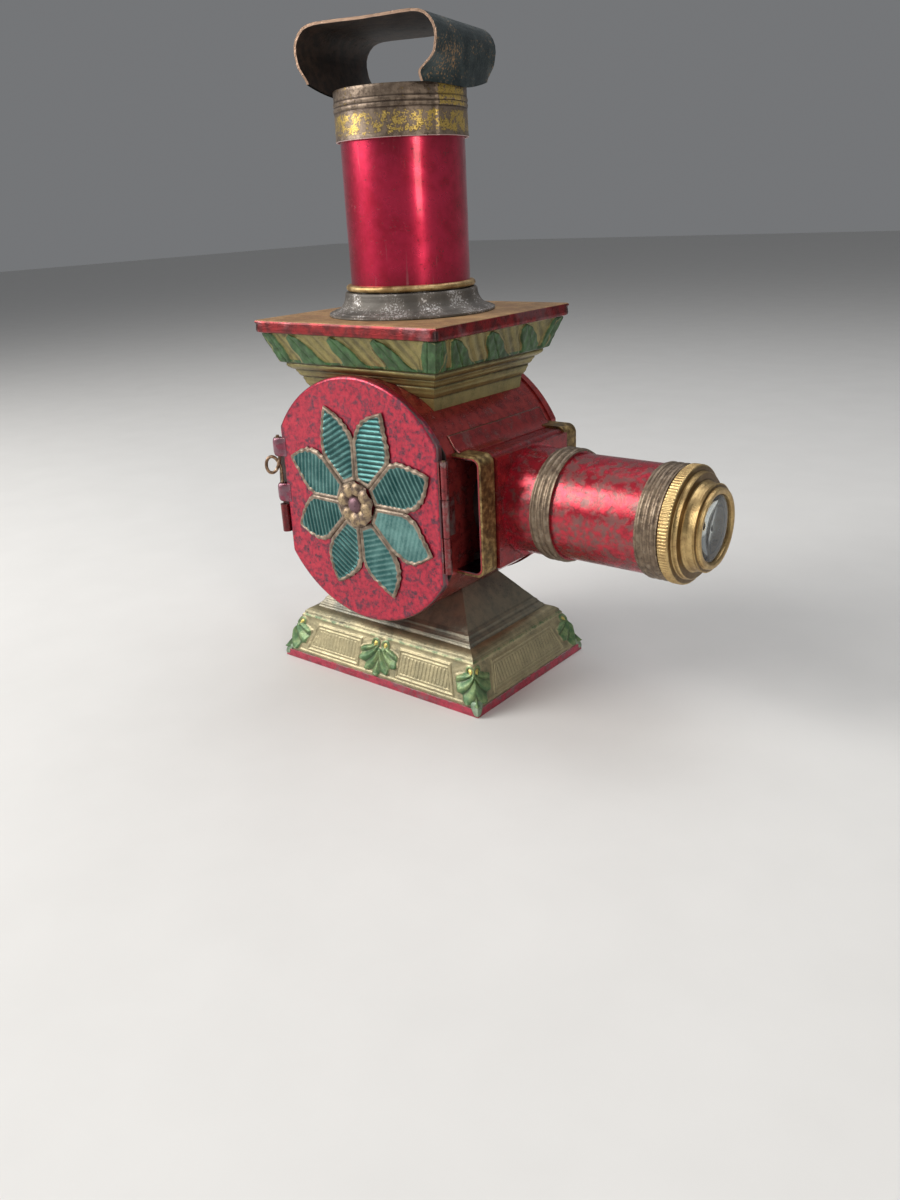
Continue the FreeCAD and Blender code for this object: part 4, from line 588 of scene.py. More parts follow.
# Painted shade: the rib grooves are darkened; painted sheen: a whitish highlight on the ridges between them.
teal_colour = teal.mix(teal_groove * 0.85, teal_colour, (0.008, 0.035, 0.035))
teal_colour = teal.mix(teal.step(0.45 - teal_groove + (teal_specks - 0.5) * 0.5, 0.2, 0.55) * 0.25,
                       teal_colour, (0.42, 0.62, 0.58))
teal_gilt = teal.mix(teal.step(teal_patches, 0.38, 0.62), (0.36, 0.28, 0.21), (0.18, 0.135, 0.10))
teal_colour = teal.mix(teal_rim, teal_colour, teal_gilt)
petal_teal = teal.paint(teal_colour, 0.30 + teal_rim * 0.14 + (teal_specks - 0.5) * 0.15,
                        0.75 - teal_rim * 0.2, teal_patches * 0.5 + teal_specks * 0.4, 0.00018)
new_piece("petals", joined(*(petal(*shape) for shape in PETALS)), "side_door", petal_teal,
          ["rosette_petals"], ["rim", "groove"], 75)


# ------------------------------------------------------------------ boss
# The middle of the rosette: a dome of mauve-brown tin in a ring of eight pressed beads.
# The beads are gilt, gone dull and brown, and bright only where fingers touch them.

BEADS = ((121, 5.7, 3.1), (76, 6.1, 2.8), (34, 6.0, 3.1), (-8, 5.9, 3.2), (-50, 6.0, 3.3), (-92, 5.9, 3.2),
         (-136, 5.6, 2.9), (168, 5.7, 3.0))


def boss_place(column, row):
    turn = 2 * math.pi * column / 144
    reach = 8.6 * (row / 46) ** 0.85
    x, z = reach * math.cos(turn), reach * math.sin(turn)
    height = 0.5 * smooth(8.6 - reach, 0, 0.8)
    dome = math.sqrt(max(1 - (reach / 3.2) ** 2, 0))
    height = max(height, 0.6 + 2.4 * dome)
    bead_share = 0.0
    for degrees, distance, radius in BEADS:
        bead_x = distance * math.cos(math.radians(degrees))
        bead_z = distance * math.sin(math.radians(degrees))
        off = math.hypot(x - bead_x, z - bead_z) / radius
        if off < 1:
            rise = math.sqrt(1 - off * off)
            height = max(height, 0.5 + 2.2 * rise)
            bead_share = max(bead_share, rise)
    height += 0.08 * rough(x, z, 9, 1.2)
    return (ROSETTE_X + x, petal_high.y - 0.75 - min(height, 3.0), DRUM_AXIS + z, bead_share,
            smooth(dome, 0.1, 0.5))


gilt = Finish("old_gilt")
gilt_patches = gilt.grain(380, 5)
gilt_specks = gilt.grain(1600, 3)
gilt_bright = gilt.step(gilt_patches + gilt.mask("bead") * 0.3, 0.62, 0.85)
gilt_colour = gilt.mix(gilt.step(gilt_patches, 0.36, 0.60), (0.16, 0.115, 0.09), (0.33, 0.245, 0.18))
gilt_colour = gilt.mix(gilt_bright * 0.22, gilt_colour, (0.80, 0.58, 0.22))
gilt_colour = gilt.mix(gilt.step(gilt.mask("bead"), 0.35, 0.0) * 0.5, gilt_colour, (0.08, 0.055, 0.04))
gilt_colour = gilt.mix(gilt.mask("dome"), gilt_colour, (0.20, 0.11, 0.13))
gilt_colour = gilt.mix(gilt.step(gilt_specks, 0.58, 0.66) * 0.6, gilt_colour, (0.05, 0.03, 0.02))
old_gilt = gilt.paint(gilt_colour, 0.40 + gilt_patches * 0.15, 0.65, gilt_patches * 0.5 + gilt_specks * 0.4,
                      0.0002)
new_piece("rosette_beads", sheet(47, 144, boss_place, True), "side_door", old_gilt, ["rosette_boss"],
          ["bead", "dome"], 70)


# ------------------------------------------------------------------ bolt
# One length of springy coppery wire slides in two rolled barrels on the door and drops into a keeper below.
# Its middle is twisted once round into a tall finger loop that sticks out to the side.

BOLT_X = -40.6
BOLT_Y = -36.2
DIAGONAL = 0.7071            # the loop stands out from the door's corner at 45 degrees
# distance out along the loop, height, sideways
BOLT_LINE = ((0.0, 95.2, 0.0), (0.0, 92.0, 0.0), (0.0, 88.4, 0.0), (0.0, 86.6, 0.5), (0.5, 84.6, 0.9),
             (1.4, 82.0, 0.9), (3.0, 80.6, 0.6), (4.8, 80.9, 0.2), (5.6, 83.0, 0.0), (5.3, 85.4, -0.2),
             (4.0, 87.0, -0.5), (2.3, 86.8, -0.8), (1.1, 85.2, -0.9), (0.4, 83.4, -0.7), (0.0, 82.2, -0.3),
             (0.0, 81.2, 0.0), (0.0, 76.0, 0.0), (0.0, 68.9, 0.0))

wire = bpy.data.curves.new("bolt_wire", "CURVE")
wire.dimensions = "3D"
wire.bevel_depth = 0.00062
wire.bevel_resolution = 5
wire.resolution_u = 10
wire.use_fill_caps = True
strand = wire.splines.new("NURBS")
strand.points.add(len(BOLT_LINE) - 1)
for point, (out, height, aside) in zip(strand.points, BOLT_LINE):
    x = BOLT_X - DIAGONAL * out + DIAGONAL * aside
    y = BOLT_Y - DIAGONAL * out - DIAGONAL * aside
    point.co = (x * 0.001, y * 0.001, height * 0.001, 1)
strand.order_u = 4
strand.use_endpoint_u = True
bolt = bpy.data.objects.new("bolt_wire", wire)
bpy.context.scene.collection.objects.link(bolt)

copper = Finish("coppery_wire")
copper_patches = copper.grain(600, 4)
copper_specks = copper.grain(2500, 3)
copper_colour = copper.ramp(copper_patches, (0.35, (0.10, 0.06, 0.04)), (0.52, (0.34, 0.22, 0.14)),
                            (0.66, (0.66, 0.50, 0.36)))
coppery = copper.paint(copper_colour, 0.28 + copper_specks * 0.25, 0.9, copper_patches, 0.0001)
wire.materials.append(coppery)
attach(bolt, "door_bolt")
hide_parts("latch_bolt")
refinish(coppery, "hinge_pin", "condenser_ring", "rear_lens_ring", "front_lens_ring")


def barrel_shell(foot, head, back, sign=1):
    """A domed strap over the wire, from the door face over the bolt and round behind it."""
    def place(column, row):
        t = row / 34
        end = min(t, 1 - t) * (head - foot)
        dome = math.sqrt(max(1 - (1 - min(end / 2.0, 1)) ** 2, 0.0))
        radius = 0.85 + 0.92 * dome
        s = column / 30
        if s < 0.3:
            x, y = -36.2 - (s / 0.3) * 4.4, back - radius * smooth(s, 0.0, 0.3)
        else:
            turn = math.radians(-90 - 200 * (s - 0.3) / 0.7)
            x, y = BOLT_X + radius * math.cos(turn), BOLT_Y + radius * math.sin(turn)
        edge = 0.9 * bell(s - 0.62, 0.12) + bell(end, 0.3) * 0.6
        return (x, y, foot + (head - foot) * t, edge)
    return sheet(35, 31, place)


barrel_pink = lacquer("barrel_pink", (0.27, 0.05, 0.085), (0.15, 0.025, 0.05), (0.24, 0.13, 0.16), 0.45,
                      edge=(0.74, 0.56, 0.22), gloss=0.22, size=0.5)
new_piece("upper_barrel", barrel_shell(87.3, 94.3, BOLT_Y + 0.1), "side_door", barrel_pink,
          ["bolt_barrel_upper"], ["edge"], 70, 0.3)
new_piece("lower_barrel", barrel_shell(69.4, 76.4, BOLT_Y + 0.1), "side_door", barrel_pink,
          ["bolt_barrel_lower"], ["edge"], 70, 0.3)
keeper_red = lacquer("keeper_red", (0.17, 0.012, 0.016), (0.08, 0.006, 0.008), (0.16, 0.08, 0.08), 0.25,
                     gloss=0.25, size=0.6)
refinish(keeper_red, "bolt_keeper")


# ------------------------------------------------------------------ cornice
# The pressed hood over the drum: a band of leaning leaves under the lip, then mouldings down to the drum.
# Old gold with green leaves, brushed on by hand and darkened by lamp smoke.

CORNICE_LEAF = 20.5          # from one leaf to the next
LID_HALF_LENGTH = 43.1
LID_HALF_WIDTH = 39.5


def cornice_relief(side, across, to_corner, row, height):
    """Leaf band and mouldings, with masks for leaf, gold and hollow."""
    bulge = 0.12 * rough(across, side * 70, height, 9)
    leaf = gold = 0.0
    band = smooth(height, 121.9, 122.7) * smooth(133.6, height, height + 0.8)
    if band > 0:
        q = (133.0 - height) / 10.6
        corner = smooth(7.5, to_corner - 0.2, to_corner + 1.6)
        lean = across + 3.2 - 8.5 * (q - 0.4) * (1 - corner)
        spot = (lean / CORNICE_LEAF + 0.5) % 1.0 - 0.5
        off = spot * CORNICE_LEAF
        half = 3.6 * smooth(q, -0.06, 0.16) + 1.3 * bell(q - 0.45, 0.2) + 3.4 * max(q, 0.0) ** 2.6
        inside = smooth(half - abs(off), -0.2, 1.0)
        at_corner = smooth(6.4 - 2.2 * abs(q - 0.5) - to_corner, -0.3, 0.8)
        inside = max(inside * (1 - smooth(9.0, to_corner, to_corner + 1.5)), at_corner)
        vein = bell(off, 0.35) * (1 - at_corner) + bell(to_corner - 3.2, 0.3) * at_corner
        ribs = 0.07 * math.sin((off * 0.9 + q * 9) * 1.8)
        bulge += band * (0.75 * inside - 0.30 * vein + ribs * inside)
        leaf = max(inside, smooth(q, 0.86, 0.94)) * band
        gold = band * bell(half - abs(off) + 0.9, 0.7) * 0.45
        flow = 0.12 * math.sin((lean + 3) * 1.3) * (1 - inside) * band
        bulge += flow
    bulge -= 0.5 * bell(height - 122.0, 0.35)
    bulge += 0.42 * bell(height - 120.7, 0.7) - 0.4 * bell(height - 119.4, 0.3)
    bulge += 0.25 * bell(height - 117.7, 0.5) - 0.35 * bell(height - 116.6, 0.3)
    bulge += 0.22 * bell(height - 114.2, 0.6) - 0.3 * bell(height - 112.6, 0.3)
    hollow = smooth(0.02, bulge, bulge + 0.30)
    return bulge - 0.15, leaf, gold, hollow


def over_drum(spot):
    """The spot, lifted onto the top of the drum if it would be inside it."""
    x, y, z, *masks = spot
    if abs(x) < DRUM_RADIUS and abs(y) < 33.6:
        z = max(z, DRUM_AXIS + math.sqrt((DRUM_RADIUS + 0.03) ** 2 - x * x))
    return (x, y, z, *masks)


cornice_profile = line_through([(1.4, 134.4), (2.5, 132.8), (6.5, 122.4), (10.4, 118.0), (13.2, 112.0),
                                (14.0, 105.5)], 0.26)
cornice_spots, cornice_faces = mitred(cornice_profile, LID_HALF_LENGTH, LID_HALF_WIDTH, 280, cornice_relief)
pressed_cornice = pressed("pressed_cornice", (0.25, 0.21, 0.075), (0.12, 0.105, 0.04), (0.035, 0.13, 0.04),
                          (0.012, 0.062, 0.018), (0.34, 0.29, 0.12))
new_piece("cornice_pressed", ([over_drum(spot) for spot in cornice_spots], cornice_faces), "lamp_house",
          pressed_cornice, ["cornice_shell"], ["leaf", "gold", "hollow"], 55)


# ------------------------------------------------------------------ top plate
# A flat lid of tinplate with its edge folded down all round and nipped together at the corners.
# The top is bare and rusty brown; the lip keeps its bright red lacquer.

def lip_dents(side, across, to_corner, row, height):
    on_lip = smooth(137.9, height - 0.1, height + 0.4)
    wave = 0.22 * rough(across, side * 30, 2, 13) * on_lip
    nip = smooth(2.2, to_corner, to_corner + 1.6) * smooth(137.4, height, height + 1.0)
    top = smooth(height, 137.55, 137.85)
    return min(wave, 0.0) - 0.55 * nip, top, 0.8 * bell(height - 137.75, 0.3), nip


plate = Finish("rusty_plate")
plate_clouds = plate.grain(60, 6)
plate_patches = plate.grain(300, 6)
plate_specks = plate.grain(1800, 3)
plate_top = plate.step(plate.mask("top") + (plate_patches - 0.5) * 0.5, 0.35, 0.6)
plate_rust = plate.mix(plate.step(plate_clouds * 0.5 + plate_patches * 0.5, 0.38, 0.62), (0.44, 0.27, 0.12),
                       (0.27, 0.155, 0.07))
plate_rust = plate.mix(plate.step(plate_specks, 0.56, 0.64) * 0.5, plate_rust, (0.10, 0.05, 0.025))
plate_red = plate.mix(plate.step(plate_patches, 0.36, 0.62), (0.26, 0.014, 0.016), (0.10, 0.008, 0.009))
plate_red = plate.mix(plate.step(plate_clouds, 0.56, 0.66) * 0.5, plate_red, (0.24, 0.12, 0.13))
plate_colour = plate.mix(plate_top, plate_red, plate_rust)
plate_colour = plate.mix(plate.step(plate.mask("fold") + (plate_patches - 0.5), 0.75, 0.95), plate_colour,
                         (0.42, 0.23, 0.15))
# Painted shade: the nipped corner folds are coloured near-black.
plate_colour = plate.mix(plate.step(plate.mask("nip"), 0.3, 0.8) * 0.8, plate_colour, (0.03, 0.02, 0.02))
rusty_plate = plate.paint(plate_colour, 0.30 + plate_top * 0.3 + (plate_specks - 0.5) * 0.2,
                          0.62 - plate_top * 0.4, plate_patches * 0.5 + plate_specks * 0.5, 0.00022,
                          coat_weight=0.1, coat_roughness=0.3)
lip_profile = line_through([(1.7, 133.7), (0.7, 133.5), (0.15, 133.8), (0.0, 134.6), (0.25, 137.2),
                            (0.55, 137.8), (1.1, 138.0)], 0.4) + [(4.0, 137.97), (10.0, 137.9),
                                                                  (16.0, 137.85), (22.0, 137.85)]
new_piece("top_lid", mitred(lip_profile, LID_HALF_LENGTH, LID_HALF_WIDTH, 130, lip_dents), "lamp_house",
          rusty_plate, ["top_plate"], ["top", "fold", "nip"], 50)


# ------------------------------------------------------------------ chimney socket
# A spun collar of soft grey pewter, hollow-curved like a bell, holds the chimney. Turning lines ring it.
# It is dull and sooty with bright worn flecks.

def spun(profile, columns, centre, axis="z", wobble=0.0, masks=None, bumps=None):
    """A profile of (along, radius) turned about an axis through centre, a little out of true."""
    def place(column, row):
        turn = 2 * math.pi * column / columns
        along, radius = profile[row]
        if bumps:
            radius += bumps(along, radius, turn)
        radius += wobble * rough(math.cos(turn) * 3, math.sin(turn) * 3, along / 8, 1.6)
        first, second = radius * math.cos(turn), radius * math.sin(turn)
        extra = masks(along, radius, turn) if masks else ()
        if axis == "z":
            return (centre[0] + first, centre[1] + second, along, *extra)
        if axis == "y":
            return (centre[0] + first, along, centre[2] + second, *extra)
        return (along, centre[1] + first, centre[2] + second, *extra)
    return sheet(len(profile), columns, place, True)


def hollow_curve(start, end, sag, count):
    """A curve from start to end that sags in towards the corner below and inside."""
    points = []
    for k in range(count + 1):
        t = k / count
        points.append((start[0] + (end[0] - start[0]) * t ** sag,
                       start[1] + (end[1] - start[1]) * (1 - (1 - t) ** sag)))
    return points


socket_profile = [(138.0, 29.9), (138.15, 30.3), (138.75, 30.3), (139.05, 29.9), (139.1, 29.2),
                  (139.45, 28.9)]
socket_profile += hollow_curve((139.5, 28.7), (145.2, 24.1), 1.7, 14)[1:]
socket_profile += [(145.6, 24.0), (145.95, 23.7), (146.0, 22.6), (146.0, 21.2), (150.0, 21.0),
                   (158.0, 21.0), (158.0, 20.4), (140.0, 20.4)]
socket_profile = line_through(socket_profile, 0.6)

pewter = Finish("dull_pewter")
pewter_clouds = pewter.grain(140, 6)
pewter_specks = pewter.grain(1500, 4)
pewter_rings = pewter.grain(260, 3, stretch=(0.08, 0.08, 4.0))
pewter_flecks = pewter.step(pewter_specks * 0.55 + pewter_clouds * 0.45, 0.54, 0.60)
pewter_colour = pewter.mix(pewter.step(pewter_clouds, 0.36, 0.62), (0.11, 0.10, 0.088), (0.19, 0.17, 0.15))
pewter_colour = pewter.mix(pewter_flecks * 0.8, pewter_colour, (0.62, 0.60, 0.58))
dull_pewter = pewter.paint(pewter_colour, 0.50 - pewter_flecks * 0.12 + pewter_rings * 0.15, 0.62,
                           pewter_rings * 0.6 + pewter_specks * 0.4, 0.0003)
new_piece("chimney_socket", spun(socket_profile, 180, (0, 0, 0), wobble=0.04), "lamp_house",
          dull_pewter, ["chimney_flange"], [], 45)


# ------------------------------------------------------------------ chimney
# A straight tin tube in clear crimson lacquer, lapped and soldered up the back, with a gilt bead at its foot.
# The lacquer is deep and shiny, freckled, and scorched darker towards its top and its foot.

tube = Finish("chimney_crimson")
tube_clouds = tube.grain(60, 6)
tube_patches = tube.grain(230, 6)
tube_specks = tube.grain(1400, 3)
tube_scratch = tube.grain(60, 3, stretch=(6.0, 6.0, 0.5))
tube_height = tube.node("ShaderNodeSeparateXYZ", {}, {0: tube.spot}, 2)
tube_scorch = tube.step(tube_height + (tube_clouds - 0.5) * 0.02, 0.178, 0.199)
tube_foot = tube.step(tube_height + (tube_clouds - 0.5) * 0.01, 0.156, 0.148)
tube_colour = tube.mix(tube.step(tube_patches * 0.5 + tube_clouds * 0.5, 0.38, 0.62), (0.78, 0.035, 0.10),
                       (0.52, 0.016, 0.05))
tube_colour = tube.mix(tube_scorch * 0.35, tube_colour, (0.22, 0.02, 0.04))
tube_colour = tube.mix(tube_foot * 0.5, tube_colour, (0.30, 0.02, 0.04))
tube_pits = tube.step(tube_specks * 0.6 + tube_patches * 0.4, 0.585, 0.635)
tube_colour = tube.mix(tube_pits * 0.7, tube_colour, (0.07, 0.01, 0.015))
tube_scrape = tube.step(tube_scratch, 0.66, 0.72)
tube_colour = tube.mix(tube_scrape * 0.4, tube_colour, (0.62, 0.25, 0.27))
chimney_crimson = tube.paint(tube_colour, 0.29 + tube_pits * 0.25 + (tube_patches - 0.5) * 0.12,
                             0.9 - tube_pits * 0.4, tube_patches * 0.4 - tube_pits * 0.3, 0.00005,
                             coat_weight=0.6, coat_roughness=0.1)


def chimney_seam(along, radius, turn):
    lap = (math.degrees(turn) - 150) % 360
    return -0.45 + 0.40 * smooth(lap, 0.0, 1.4) * smooth(17.0, lap - 1, lap + 1)


CHIMNEY_RADIUS = 22.0
CHIMNEY_FOOT = 147.0
CHIMNEY_TOP = 206.0
chimney_profile = line_through([(CHIMNEY_FOOT, 21.2), (CHIMNEY_FOOT, CHIMNEY_RADIUS),
                                (CHIMNEY_TOP - 0.2, CHIMNEY_RADIUS), (CHIMNEY_TOP, CHIMNEY_RADIUS - 0.1),
                                (CHIMNEY_TOP, 21.4), (CHIMNEY_FOOT, 21.4)], 2.0)
new_piece("chimney_pipe", spun(chimney_profile, 220, (0, 0, 0), wobble=0.10, bumps=chimney_seam), "chimney",
          chimney_crimson, ["chimney_tube"], [], 45)

ring_profile = [(146.32, 21.9)]
for k in range(13):
    turn = math.pi * k / 12
    ring_profile.append((147.4 - 1.08 * math.cos(turn), 22.3 + 1.15 * math.sin(turn)))
ring_profile.append((148.5, 21.6))
bead = Finish("ochre_bead")
bead_patches = bead.grain(240, 6)
bead_specks = bead.grain(1500, 3)
bead_colour = bead.ramp(bead_patches, (0.30, (0.22, 0.12, 0.05)), (0.50, (0.44, 0.30, 0.13)),
                        (0.66, (0.66, 0.50, 0.26)))
bead_colour = bead.mix(bead.step(bead_specks, 0.56, 0.64) * 0.5, bead_colour, (0.12, 0.06, 0.03))
ochre_bead = bead.paint(bead_colour, 0.34 + bead_patches * 0.2, 0.8, bead_patches * 0.5 + bead_specks * 0.5,
                        0.00022)
new_piece("chimney_bead", spun(ring_profile, 180, (0, 0, 0), wobble=0.15), "chimney", ochre_bead,
          ["chimney_ring"], [], 50)


# ------------------------------------------------------------------ cowl collar
# A strip of tin bent into a ring, lapped and soldered, slips over the chimney's top. Two beads stiffen it.
# Brown-grey tarnish with patches of its old gold lacquer, and a bright worn edge below.

SEAM_TURN = 342.0            # where the lapped ends meet
COLLAR_FOOT = 194.8
COLLAR_TOP = 210.6
COLLAR_BEADS = (204.5, 206.2)
COLLAR_GROOVES = (203.7, 205.35, 207.0)


def collar_seam(along, radius, turn):
    lap = (math.degrees(turn) - SEAM_TURN + 180) % 360 - 180
    return 0.45 * smooth(lap, -1.3, -0.3) * smooth(22.0, lap - 1, lap + 1) * (1 if lap > -5 else 0)


def collar_masks(along, radius, turn):
    lap = (math.degrees(turn) - SEAM_TURN + 180) % 360 - 180
    gold = smooth(lap, -2, 3) * smooth(44.0, lap - 12, lap + 12) * smooth(along, 203.0, 204.5)
    gold = max(gold, 0.75 * smooth(203.2, along, along + 1.2) * smooth(along, 195.6, 196.8))
    groove = sum(bell(along - line, 0.3) for line in COLLAR_GROOVES) + bell(lap + 0.9, 0.5)
    return (gold, groove, smooth(195.2, along - 0.1, along + 0.3))


collar_profile = line_through([(COLLAR_FOOT + 1.5, 22.35), (COLLAR_FOOT + 0.2, 22.4), (COLLAR_FOOT, 22.7),
                               (COLLAR_FOOT + 0.1, 22.95), (COLLAR_FOOT + 0.5, 23.0),
                               (COLLAR_FOOT + 1.2, 22.85), (203.6, 22.75)], 0.7)
for middle in COLLAR_BEADS:
    for k in range(9):
        turn = math.pi * k / 8
        collar_profile.append((middle - 0.75 * math.cos(turn), 22.72 + 0.28 * math.sin(turn)))
collar_profile += line_through([(207.2, 22.75), (COLLAR_TOP - 0.2, 22.8), (COLLAR_TOP, 22.6),
                                (COLLAR_TOP - 0.1, 22.3), (203.0, 22.3)], 1.0)

band = Finish("collar_tin")
band_clouds = band.grain(75, 6)
band_patches = band.grain(420, 7, lumps=0.65)
band_specks = band.grain(1500, 3)
band_gold = band.step(band.mask("gold") * 0.5 + (band_clouds - 0.5) * 1.2 + (band_patches - 0.5) * 2.0
                      + (band_specks - 0.5) * 1.3, 0.26, 0.46)
band_colour = band.mix(band.step(band_patches, 0.38, 0.62), (0.25, 0.19, 0.14), (0.13, 0.095, 0.07))
band_colour = band.mix(band_gold, band_colour, (0.60, 0.42, 0.11))
band_colour = band.mix(band.step(band.mask("foot") + (band_patches - 0.5) * 0.6, 0.4, 0.8), band_colour,
                       (0.62, 0.44, 0.42))
band_colour = band.mix(band.step(band.mask("groove"), 0.3, 0.9) * 0.7, band_colour, (0.04, 0.025, 0.02))
band_pits = band.step(band_specks * 0.6 + band_patches * 0.4, 0.56, 0.62)
band_colour = band.mix(band_pits * 0.7, band_colour, (0.05, 0.03, 0.025))
collar_tin = band.paint(band_colour, 0.42 - band_gold * 0.12 + band_pits * 0.15, 0.7,
                        band_patches * 0.5 + band_specks * 0.4 - band_pits * 0.3, 0.00022)
new_piece("collar_band", spun(collar_profile, 260, (0, 0, 0), wobble=0.08, bumps=collar_seam,
                              masks=collar_masks),
          "cowl", collar_tin, ["cowl_collar"], ["gold", "groove", "foot"], 50)


# ------------------------------------------------------------------ cowl
# A wide strip of heavier tin, bent down at both ends over the collar, keeps out the rain.
# Gunmetal blue outside with rust freckles, brown with soot inside, and the cut edges rubbed bare.

COWL_TURN = math.radians(13.4)
COWL_TOP = 229.8
COWL_SHEET = 0.85
COWL_HALF_WIDTH = 23.4
cowl_half = [(23.9, 209.4), (24.1, 211.0), (24.4, 213.2), (24.9, 216.0), (25.5, 218.8), (25.95, 221.5),
             (25.8, 223.6), (25.1, 225.5), (23.9, 227.2), (22.2, 228.6), (20.1, 229.4), (17.6, 229.75),
             (14.0, 229.8)]
cowl_line = line_through(cowl_half + [(0.0, 229.55)] + [(-x, z) for x, z in reversed(cowl_half)], 0.9)


def cowl_place(column, row):
    """Outer face first, then round the cut edge, then the inner face."""
    x, z = cowl_line[row]
    half = COWL_HALF_WIDTH - 1.6 * (1 - smooth(z, 209.2, 213.0))
    ahead = cowl_line[min(row + 1, len(cowl_line) - 1)]
    behind = cowl_line[max(row - 1, 0)]
    along = Vector((ahead[0] - behind[0], ahead[1] - behind[1])).normalized()
    inward = Vector((-along.y, along.x))
    if column < 41:
        s, sink = (column / 40 - 0.5) * 2, 0.0
    elif column < 44:
        s, sink = 1.0, (column - 40) / 4
    elif column < 85:
        s, sink = (0.5 - (column - 44) / 40) * 2, 1.0
    else:
        s, sink = -1.0, 1 - (column - 84) / 4
    y = s * half
    near_right = x > 0 and s < 0
    hug = (0.32 if near_right else 0.06) * smooth(218.0, z, z + 8.0)
    round_x = math.copysign(math.sqrt(max(24.3 ** 2 - y * y, 1.0)), x)
    bow = x * (1 - hug) + round_x * hug
    dent = 0.25 * rough(x, y, z, 16) * smooth(26.5, abs(x), abs(x) + 2)
    bow += inward.x * (sink * COWL_SHEET)
    trim = (0.5 if near_right else 3.0) * abs(s) ** 1.6 * smooth(219.0, z, z + 10.0)
    lift = z + inward.y * (sink * COWL_SHEET) + min(dent, 0.0) * (1 - hug) + trim
    edge = 1.0 if 40 < column < 44 or column > 84 else 0.6 * bell((1 - abs(s)) * half, 0.35)
    return (bow * math.cos(COWL_TURN) - y * math.sin(COWL_TURN),
            bow * math.sin(COWL_TURN) + y * math.cos(COWL_TURN),
            min(lift, COWL_TOP), edge, 1.0 if 43 < column < 85 else 0.0)


gun = Finish("cowl_gunmetal")
gun_clouds = gun.grain(85, 6)
gun_patches = gun.grain(300, 6)
gun_specks = gun.grain(1300, 4)
gun_rust = gun.step(gun_specks * 0.6 + gun_clouds * 0.4, 0.56, 0.64)
gun_out = gun.mix(gun.step(gun_clouds * 0.5 + gun_patches * 0.5, 0.38, 0.62), (0.022, 0.036, 0.038),
                  (0.06, 0.08, 0.078))
gun_out = gun.mix(gun_rust * 0.8, gun_out, (0.34, 0.20, 0.09))
gun_in = gun.mix(gun.step(gun_patches, 0.36, 0.64), (0.018, 0.012, 0.009), (0.05, 0.03, 0.02))
gun_colour = gun.mix(gun.mask("inside"), gun_out, gun_in)
gun_edge = gun.step(gun.mask("edge") + (gun_patches - 0.5) * 0.8, 0.5, 0.75)
gun_colour = gun.mix(gun_edge, gun_colour, (0.40, 0.26, 0.18))
gunmetal = gun.paint(gun_colour, 0.34 + gun_rust * 0.25 + gun.mask("inside") * 0.3,
                     0.7 - gun_rust * 0.4 - gun.mask("inside") * 0.6,
                     gun_patches * 0.5 + gun_specks * 0.5, 0.00022)
new_piece("cowl_strip", sheet(len(cowl_line), 88, cowl_place, True), "cowl", gunmetal, ["cowl_strap"],
          ["edge", "inside"], 50)


# ------------------------------------------------------------------ slide stage
# A flat box open at both ends takes the glass slides. Ribbed gilt bands bind its ends.
# Dark crimson outside.

# inside=True paints shade into the box: its interior is coloured near-black.
stage_red = lacquer("stage_red", (0.34, 0.025, 0.03), (0.16, 0.01, 0.015), (0.18, 0.08, 0.08), 0.25,
                    gloss=0.24, size=0.6, inside=True)
refinish(stage_red, "slide_stage", "lens_box")

gold = Finish("band_gold")
gold_patches = gold.grain(480, 6)
gold_specks = gold.grain(1500, 3)
gold_colour = gold.ramp(gold_patches, (0.34, (0.08, 0.05, 0.02)), (0.52, (0.24, 0.155, 0.06)),
                        (0.70, (0.50, 0.36, 0.15)))
gold_colour = gold.mix(gold.step(gold_specks, 0.56, 0.64) * 0.5, gold_colour, (0.06, 0.03, 0.02))
band_gilt = gold.paint(gold_colour, 0.38 + gold_patches * 0.15, 0.75,
                       gold_patches * 0.5 + gold_specks * 0.5, 0.00025)
refinish(band_gilt, "stage_band_door_side", "stage_band_far_side")


def flap_place(column, row):
    """A soldered flap from the top of the stage, curling up onto the round of the drum."""
    s = column / 50
    t = row / 16
    y = -28.0 + 56.0 * s
    turn = math.radians(27.0 + 9.5 * t)
    x = (DRUM_RADIUS + 0.35) * math.cos(turn)
    z = DRUM_AXIS + (DRUM_RADIUS + 0.35) * math.sin(turn)
    if t < 0.35:
        share = 1 - t / 0.35
        x += share * 2.6
        z += share * (94.9 - z) * 0.9
    x += 0.15 * rough(y, t * 6, 4, 6)
    edge = bell(1 - t, 0.10) + bell(min(s, 1 - s), 0.01)
    return (x, y, z, edge)


flap_red = lacquer("flap_red", (0.40, 0.04, 0.04), (0.21, 0.02, 0.022), (0.25, 0.11, 0.10), 0.25,
                   edge=(0.24, 0.10, 0.08), gloss=0.22)
new_piece("stage_flap", sheet(17, 51, flap_place), "lamp_house", flap_red, [], ["edge"], 50,
          0.3)


# ------------------------------------------------------------------ lens tubes
# The draw tube slides in the fixed tube to focus. Its red lacquer is rubbed through to grey tin by hands.
# Ribbed bands of bare tin finish the ends of both.

tube_worn = lacquer("tube_worn", (0.54, 0.022, 0.045), (0.28, 0.008, 0.022), (0.21, 0.11, 0.10), 0.42,
                    speck=0.9, gloss=0.20, size=0.36)
refinish(tube_worn, "draw_tube")
fixed_worn = lacquer("fixed_worn", (0.48, 0.020, 0.042), (0.23, 0.007, 0.018), (0.20, 0.10, 0.095), 0.32,
                     speck=0.9, gloss=0.22, size=0.36)
refinish(fixed_worn, "fixed_tube")

